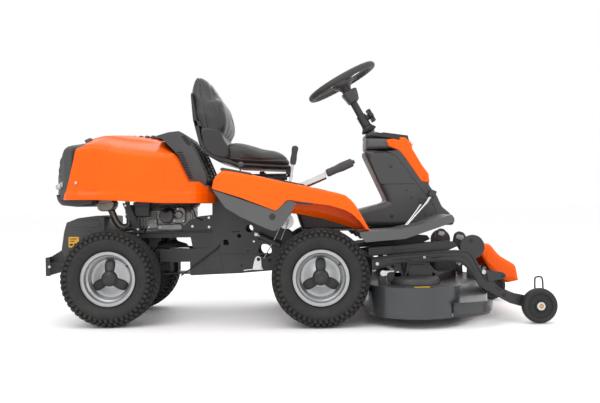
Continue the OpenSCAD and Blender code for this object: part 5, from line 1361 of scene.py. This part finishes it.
# The cover's shell: a rounded slab without the faces along its open underside
def makeFrontCover():
    outline = shiftX([(690, 282), (706, 318), (716, 321), (738, 321), (776, 271), (848, 227), (860, 160), (806, 150),
                      (729, 212)], frontAxle)
    points, faces = slabBody(rounded(outline, [4, 16, 8, 20, 22, 14, 4, 4, 4], 6), -230, 230, 18, 7)
    lowX = np.array([690, 729, 806, 861]) + frontAxle
    under = points[:, 2] < np.interp(points[:, 0], lowX, [282, 212, 150, 158]) + 6
    low = points[:, 0] < frontAxle + 855
    kept = [f for f in faces if len(f) > 4 or not all(under[v] and low[v] and abs(points[v][1]) < 228 for v in f)]
    piece = makePiece("deckFrontCover", points, kept, orangeAbs, "deck_frame", "orange_plastic", 38,
                      stands=("deck_front_cover",))
    thicken(piece, 2.5)
    creases = []
    for side in (-1, 1):
        crease = slabBody(rounded(shiftX([(716, 250), (722, 286), (736, 300), (752, 276), (764, 256), (836, 214),
                                          (840, 176), (806, 170), (748, 216)], frontAxle), 9), -231.6, -222, 2.5)
        creases.append(onSide(crease, side))
    makePiece("deckFrontFields", *joined(*creases), orangeAbs, "deck_frame", "orange_plastic", 38)


makeDeckShell()
makeBeltCovers()
makeFrontCover()


# On the deck frame: rolled arm edges, slots, plates, guards, lifting hooks, wheel guards and bolts
def makeArmDetails():
    upper = shiftX([(222, 273), (333, 287), (566, 299), (622, 289), (660, 224), (693, 171)], frontAxle)
    lower = shiftX([(222, 231), (333, 257), (544, 263), (590, 254), (632, 213), (662, 156), (731, 115), (786, 85),
                    (880, 56)], frontAxle)
    middle = shiftX([(300, 268), (540, 281), (606, 270), (646, 212)], frontAxle)
    steel, dark, bright, grey = [], [], [], []
    for side in (-1, 1):
        for line, radius in ((upper, 5), (lower, 4), (middle, 3)):
            path = np.array([(x, side * 344.5, z) for x, z in line], float)
            steel.append(tubeBody(spaced(smoothPath(path, 8), 60), radius, 10))
        plate = slabBody(rounded([(800, 221), (868, 210), (884, 201), (884, 188), (872, 181), (842, 176), (812, 170)],
                                 6), -352, -346, 1.5)
        guard = slabBody(rounded([(318, 282), (318, 318), (640, 342), (678, 338), (692, 318), (650, 300), (450, 288)],
                                 5), -322, -312, 2)
        ledge = slabBody(rounded([(420, 306), (420, 322), (520, 330), (520, 312)], 4), -324, -300, 2)
        hook = slabBody(rounded([(696, 330), (704, 366), (722, 377), (744, 371), (756, 352), (740, 334), (730, 306),
                                 (700, 312)], 8), -212, -196, 4)
        for body in (plate, guard, ledge, hook):
            steel.append(onSide(body, side))
        loop = smoothPath([(1008, side * 336, 112), (1008, side * 336, 168), (1012, side * 336, 184),
                           (1032, side * 336, 186), (1040, side * 336, 172), (1042, side * 336, 120)], 6)
        steel.append(tubeBody(loop, 3.6, 10))
        # the slots and holes are dark sheets and discs of painted shade
        slots = [slabBody(rounded([(576, 268), (576, 279), (622, 284), (622, 273)], 4), -346.4, -344, 0.4),
                 slabBody(rounded([(470, 258), (470, 265), (496, 268), (496, 261)], 3), -346.4, -344, 0.4),
                 slabBody(rounded([(838, 146), (842, 151), (866, 134), (862, 129)], 3), -346.4, -344, 0.4)]
        dark += [onSide(s, side) for s in slots]
        dark += [discBody(870, side * 352, 193, 6, 0.6, side), discBody(743, side * 345.2, 342, 8.6, 0.5, side),
                 discBody(875, side * 345.2, 115, 7.5, 0.5, side)]
        bright += [boltBody(792, side * 352, 211, 20, side, 6), boltBody(548, side * 346, 276, 12, side, 4),
                   boltBody(352, side * 346, 252, 16, side, 4), boltBody(1010, side * 346, 118, 12, side, 4)]
        pad = slabBody(rounded([(708, 346), (714, 362), (740, 360), (745, 348), (732, 336)], 4), -214, -195, 2)
        grey.append(onSide(pad, side))
    makePiece("armEdges", *joined(*steel), powderSteel, "deck_frame", "black_steel", 50)
    makePiece("armSlots", *joined(*dark), beltRubber, "deck_frame", "black_plastic")
    makePiece("armBolts", *joined(*bright), zincSteel, "deck_frame", "bare_steel")
    makePiece("hookPads", *joined(*grey), silverLacquer, "deck_frame", "bare_steel", 40)
    cross = [slabBody(rounded([(398, 172), (396, 206), (406, 214), (452, 214), (462, 206), (460, 172)], 4), -322,
                      -300, 2)]
    cross.append(mirrored(cross[0]))
    makePiece("deckLinkBoxes", *joined(*cross), powderSteel, "deck", "black_steel", 40)


makeArmDetails()


pedalPivot = (478, 384)
leverPin = (-60, 543)


# A pedal: a bent round bar with a ribbed rubber pad
def makePedal(name, body, y, end, padWidth, padMaterial):
    x1, z1 = end
    pivot = (pedalPivot[0], y, pedalPivot[1])
    path = smoothPath([pivot, (492, y, 398), (514, y, 424), (x1 - 30, y, z1 - 44), (x1 - 6, y, z1 - 10),
                       (x1 + 2, y, z1 + 2)], 8)
    eye = latheBody([(6.05, -8), (11, -8), (11, 8), (6.05, 8)], pivot, "y", 32)
    makePiece(name + "Bar", *joined(tubeBody(path, 5, 14), eye), zincSteel, body, "bare_steel", 50, stands=(body,))
    half = padWidth / 2
    pad = slabBody(rounded([(-14, -8), (-14, 22), (14, 22), (14, -8)], 5), -half, half, 4)
    ribs = [slabBody(rounded([(-16.4, -4 + 6 * i), (-16.4, -1.4 + 6 * i), (-12, -1.4 + 6 * i), (-12, -4 + 6 * i)],
                             0.8), -half + 4, half - 4, 0.8) for i in range(4)]
    points, faces = joined(pad, *ribs)
    points = leaned(points, 22, (0, 0, 0)) + (x1, y, z1)
    makePiece(name + "Pad", points, faces, padMaterial, body, "bare_steel", 40)


makePedal("forwardPedal", "forward_pedal", -216, (604.6, 534.9), 56, gripRubber)
makePedal("reversePedal", "reverse_pedal", -176, (571.6, 503.8), 24, gripRubber)
makePedal("brakePedal", "brake_pedal", 216, (604.6, 534.9), 56, gripRubber)


# The height lever: a rod leaning 9 degrees forward with a moulded grip
def makeLevers():
    y = -375
    foot = (-11, y, 545)
    rod = latheBody([(0, -4), (5, -4), (5, 132), (0, 132)], foot, "z", 20, False)
    grip = latheBody([(0, 124), (9, 124), (12, 130), (13.4, 146), (11.6, 168), (13.6, 188), (12.4, 198), (7, 202.6),
                      (0, 203.4)], foot, "z", 36, False)
    plate = slabBody(rounded([(-66, 536), (-66, 550), (-14, 552), (-6, 540)], 4), y - 5, y + 5, 1.5)
    boss = latheBody([(7.1, -7), (14, -7), (14, 7), (7.1, 7)], (leverPin[0], y, leverPin[1]), "y", 36)
    makePiece("heightRod", *joined((leaned(rod[0], 9, foot), rod[1]), plate, boss), zincSteel, "height_lever",
              "bare_steel", 40, stands=("height_lever",))
    makePiece("heightGrip", leaned(grip[0], 9, foot), grip[1], blackAbs, "height_lever", "black_plastic", 40)


# The lift lever: a flat oval tube with a dark under-edge
def makeLiftLever():
    pin = np.array((leverPin[0], -330, leverPin[1]))
    lean = -22.8
    tube = slabBody(rounded([(-60, 528), (-60, 556), (162, 556), (162, 528)], 10), -341, -319, 4)
    edge = slabBody(rounded([(-40, 522), (-40, 530), (158, 530), (158, 522)], 2), -337, -323, 1)
    boss = latheBody([(7.1, -11), (18, -11), (18, 11), (7.1, 11)], pin, "y", 40)
    makePiece("liftTube", *joined((leaned(tube[0], lean, pin), tube[1]), boss), zincSteel, "lift_lever", "bare_steel",
              40, stands=("lift_lever",))
    makePiece("liftTubeEdge", leaned(edge[0], lean, pin), edge[1], blackAbs, "lift_lever", "bare_steel")


# The orange inlay of the dash wraps onto both cheeks
def makeCheekInlay():
    inlay = slabBody(rounded([(428, 788), (459, 793), (524, 775), (551, 734), (617, 618), (619, 592), (582, 598),
                              (508, 711), (485, 739), (436, 760)], [5, 8, 14, 8, 14, 5, 5, 14, 10, 8]), -107, 107, 5)
    makePiece("dashSideInlay", *inlay, orangeAbs, "front", "orange_plastic", 40)


makeLevers()
makeLiftLever()
makeCheekInlay()
for name, material in (("throttle_lever", greyPolypropylene), ("lift_grip", gripRubber), ("blade_right", bladeSteel),
                       ("blade_centre", bladeSteel), ("blade_left", bladeSteel), ("muffler", bluedSteel)):
    paint(frame["nodes"][name], material)
roundings = {"front_frame": 1.2, "rear_frame": 1.5, "rear_cover": 9, "rear_bumper": 2.5, "deck_frame": 1.4,
             "side_panels": 2.2, "foot_plate": 2.2, "engine_block": 1.8, "transaxle": 2.5, "rear_links": 1,
             "front_links": 1, "throttle_plate": 1.5, "seat_slide": 1, "lift_grip": 1, "fuel_tank": 3, "muffler": 3,
             "deck_shell": 1}
for name, width in roundings.items():
    soften(frame["nodes"][name], width)
print("deck, pedals and levers")


def setStage():
    floorMaterial, tree, place, shader = startMaterial("paleStudioFloor")
    tone = mapRange(tree, noiseAt(tree, place, 900, 2), 0.3, 0.7, 0.0, 1.0)
    tree.links.new(mixColours(tree, tone, linearColour("#FFFFFF"), linearColour("#FDFDFD")),
                   shader.inputs["Base Color"])
    shader.inputs["Roughness"].default_value = 0.6
    mesh = bpy.data.meshes.new("studioFloor")
    points = [(-30, -20, 0), (30, -20, 0), (30, 60, 0), (-30, 60, 0)]
    mesh.from_pydata(points, [], [(0, 1, 2, 3)])
    mesh.shade_smooth()
    floor = bpy.data.objects.new("studioFloor", mesh)
    bpy.context.scene.collection.objects.link(floor)
    mesh.materials.append(floorMaterial)
    world = bpy.data.worlds.new("paleSurround")
    world.use_nodes = True
    world.node_tree.nodes["Background"].inputs[0].default_value = linearColour("#FFFFFF")
    world.node_tree.nodes["Background"].inputs[1].default_value = 1.0
    bpy.context.scene.world = world
    lights = [("keyPanel", (-1.6, -2.6, 3.4), 3.0, 62), ("fillPanel", (3.4, -2.4, 2.0), 2.6, 22),
              ("rimPanel", (0.4, 3.2, 3.2), 3.2, 40), ("topPanel", (0.0, -0.2, 4.4), 4.0, 46),
              ("lowPanel", (0.2, -4.0, 0.7), 3.0, 8)]
    for name, at, size, power in lights:
        data = bpy.data.lights.new(name, "AREA")
        data.shape, data.size, data.energy = "SQUARE", size, power
        lamp = bpy.data.objects.new(name, data)
        lamp.location = at
        aim = Vector((0, 0, 0.5)) - lamp.location
        lamp.rotation_euler = aim.to_track_quat("-Z", "Y").to_euler()
        bpy.context.scene.collection.objects.link(lamp)
    scene = bpy.context.scene
    scene.view_settings.view_transform = "Standard"
    data = bpy.data.cameras.new("camera")
    data.lens, data.sensor_width = 43.2, 36.0
    data.clip_start, data.clip_end = 0.05, 60
    camera = bpy.data.objects.new("camera", data)
    camera.location = (0.0355, -3.336, 0.500)
    # level look along +Y, tipped up 0.3 degrees and rolled 0.93 degrees
    camera.rotation_euler = (math.radians(90.3), math.radians(0.93), 0)
    scene.collection.objects.link(camera)
    scene.camera = camera


setStage()
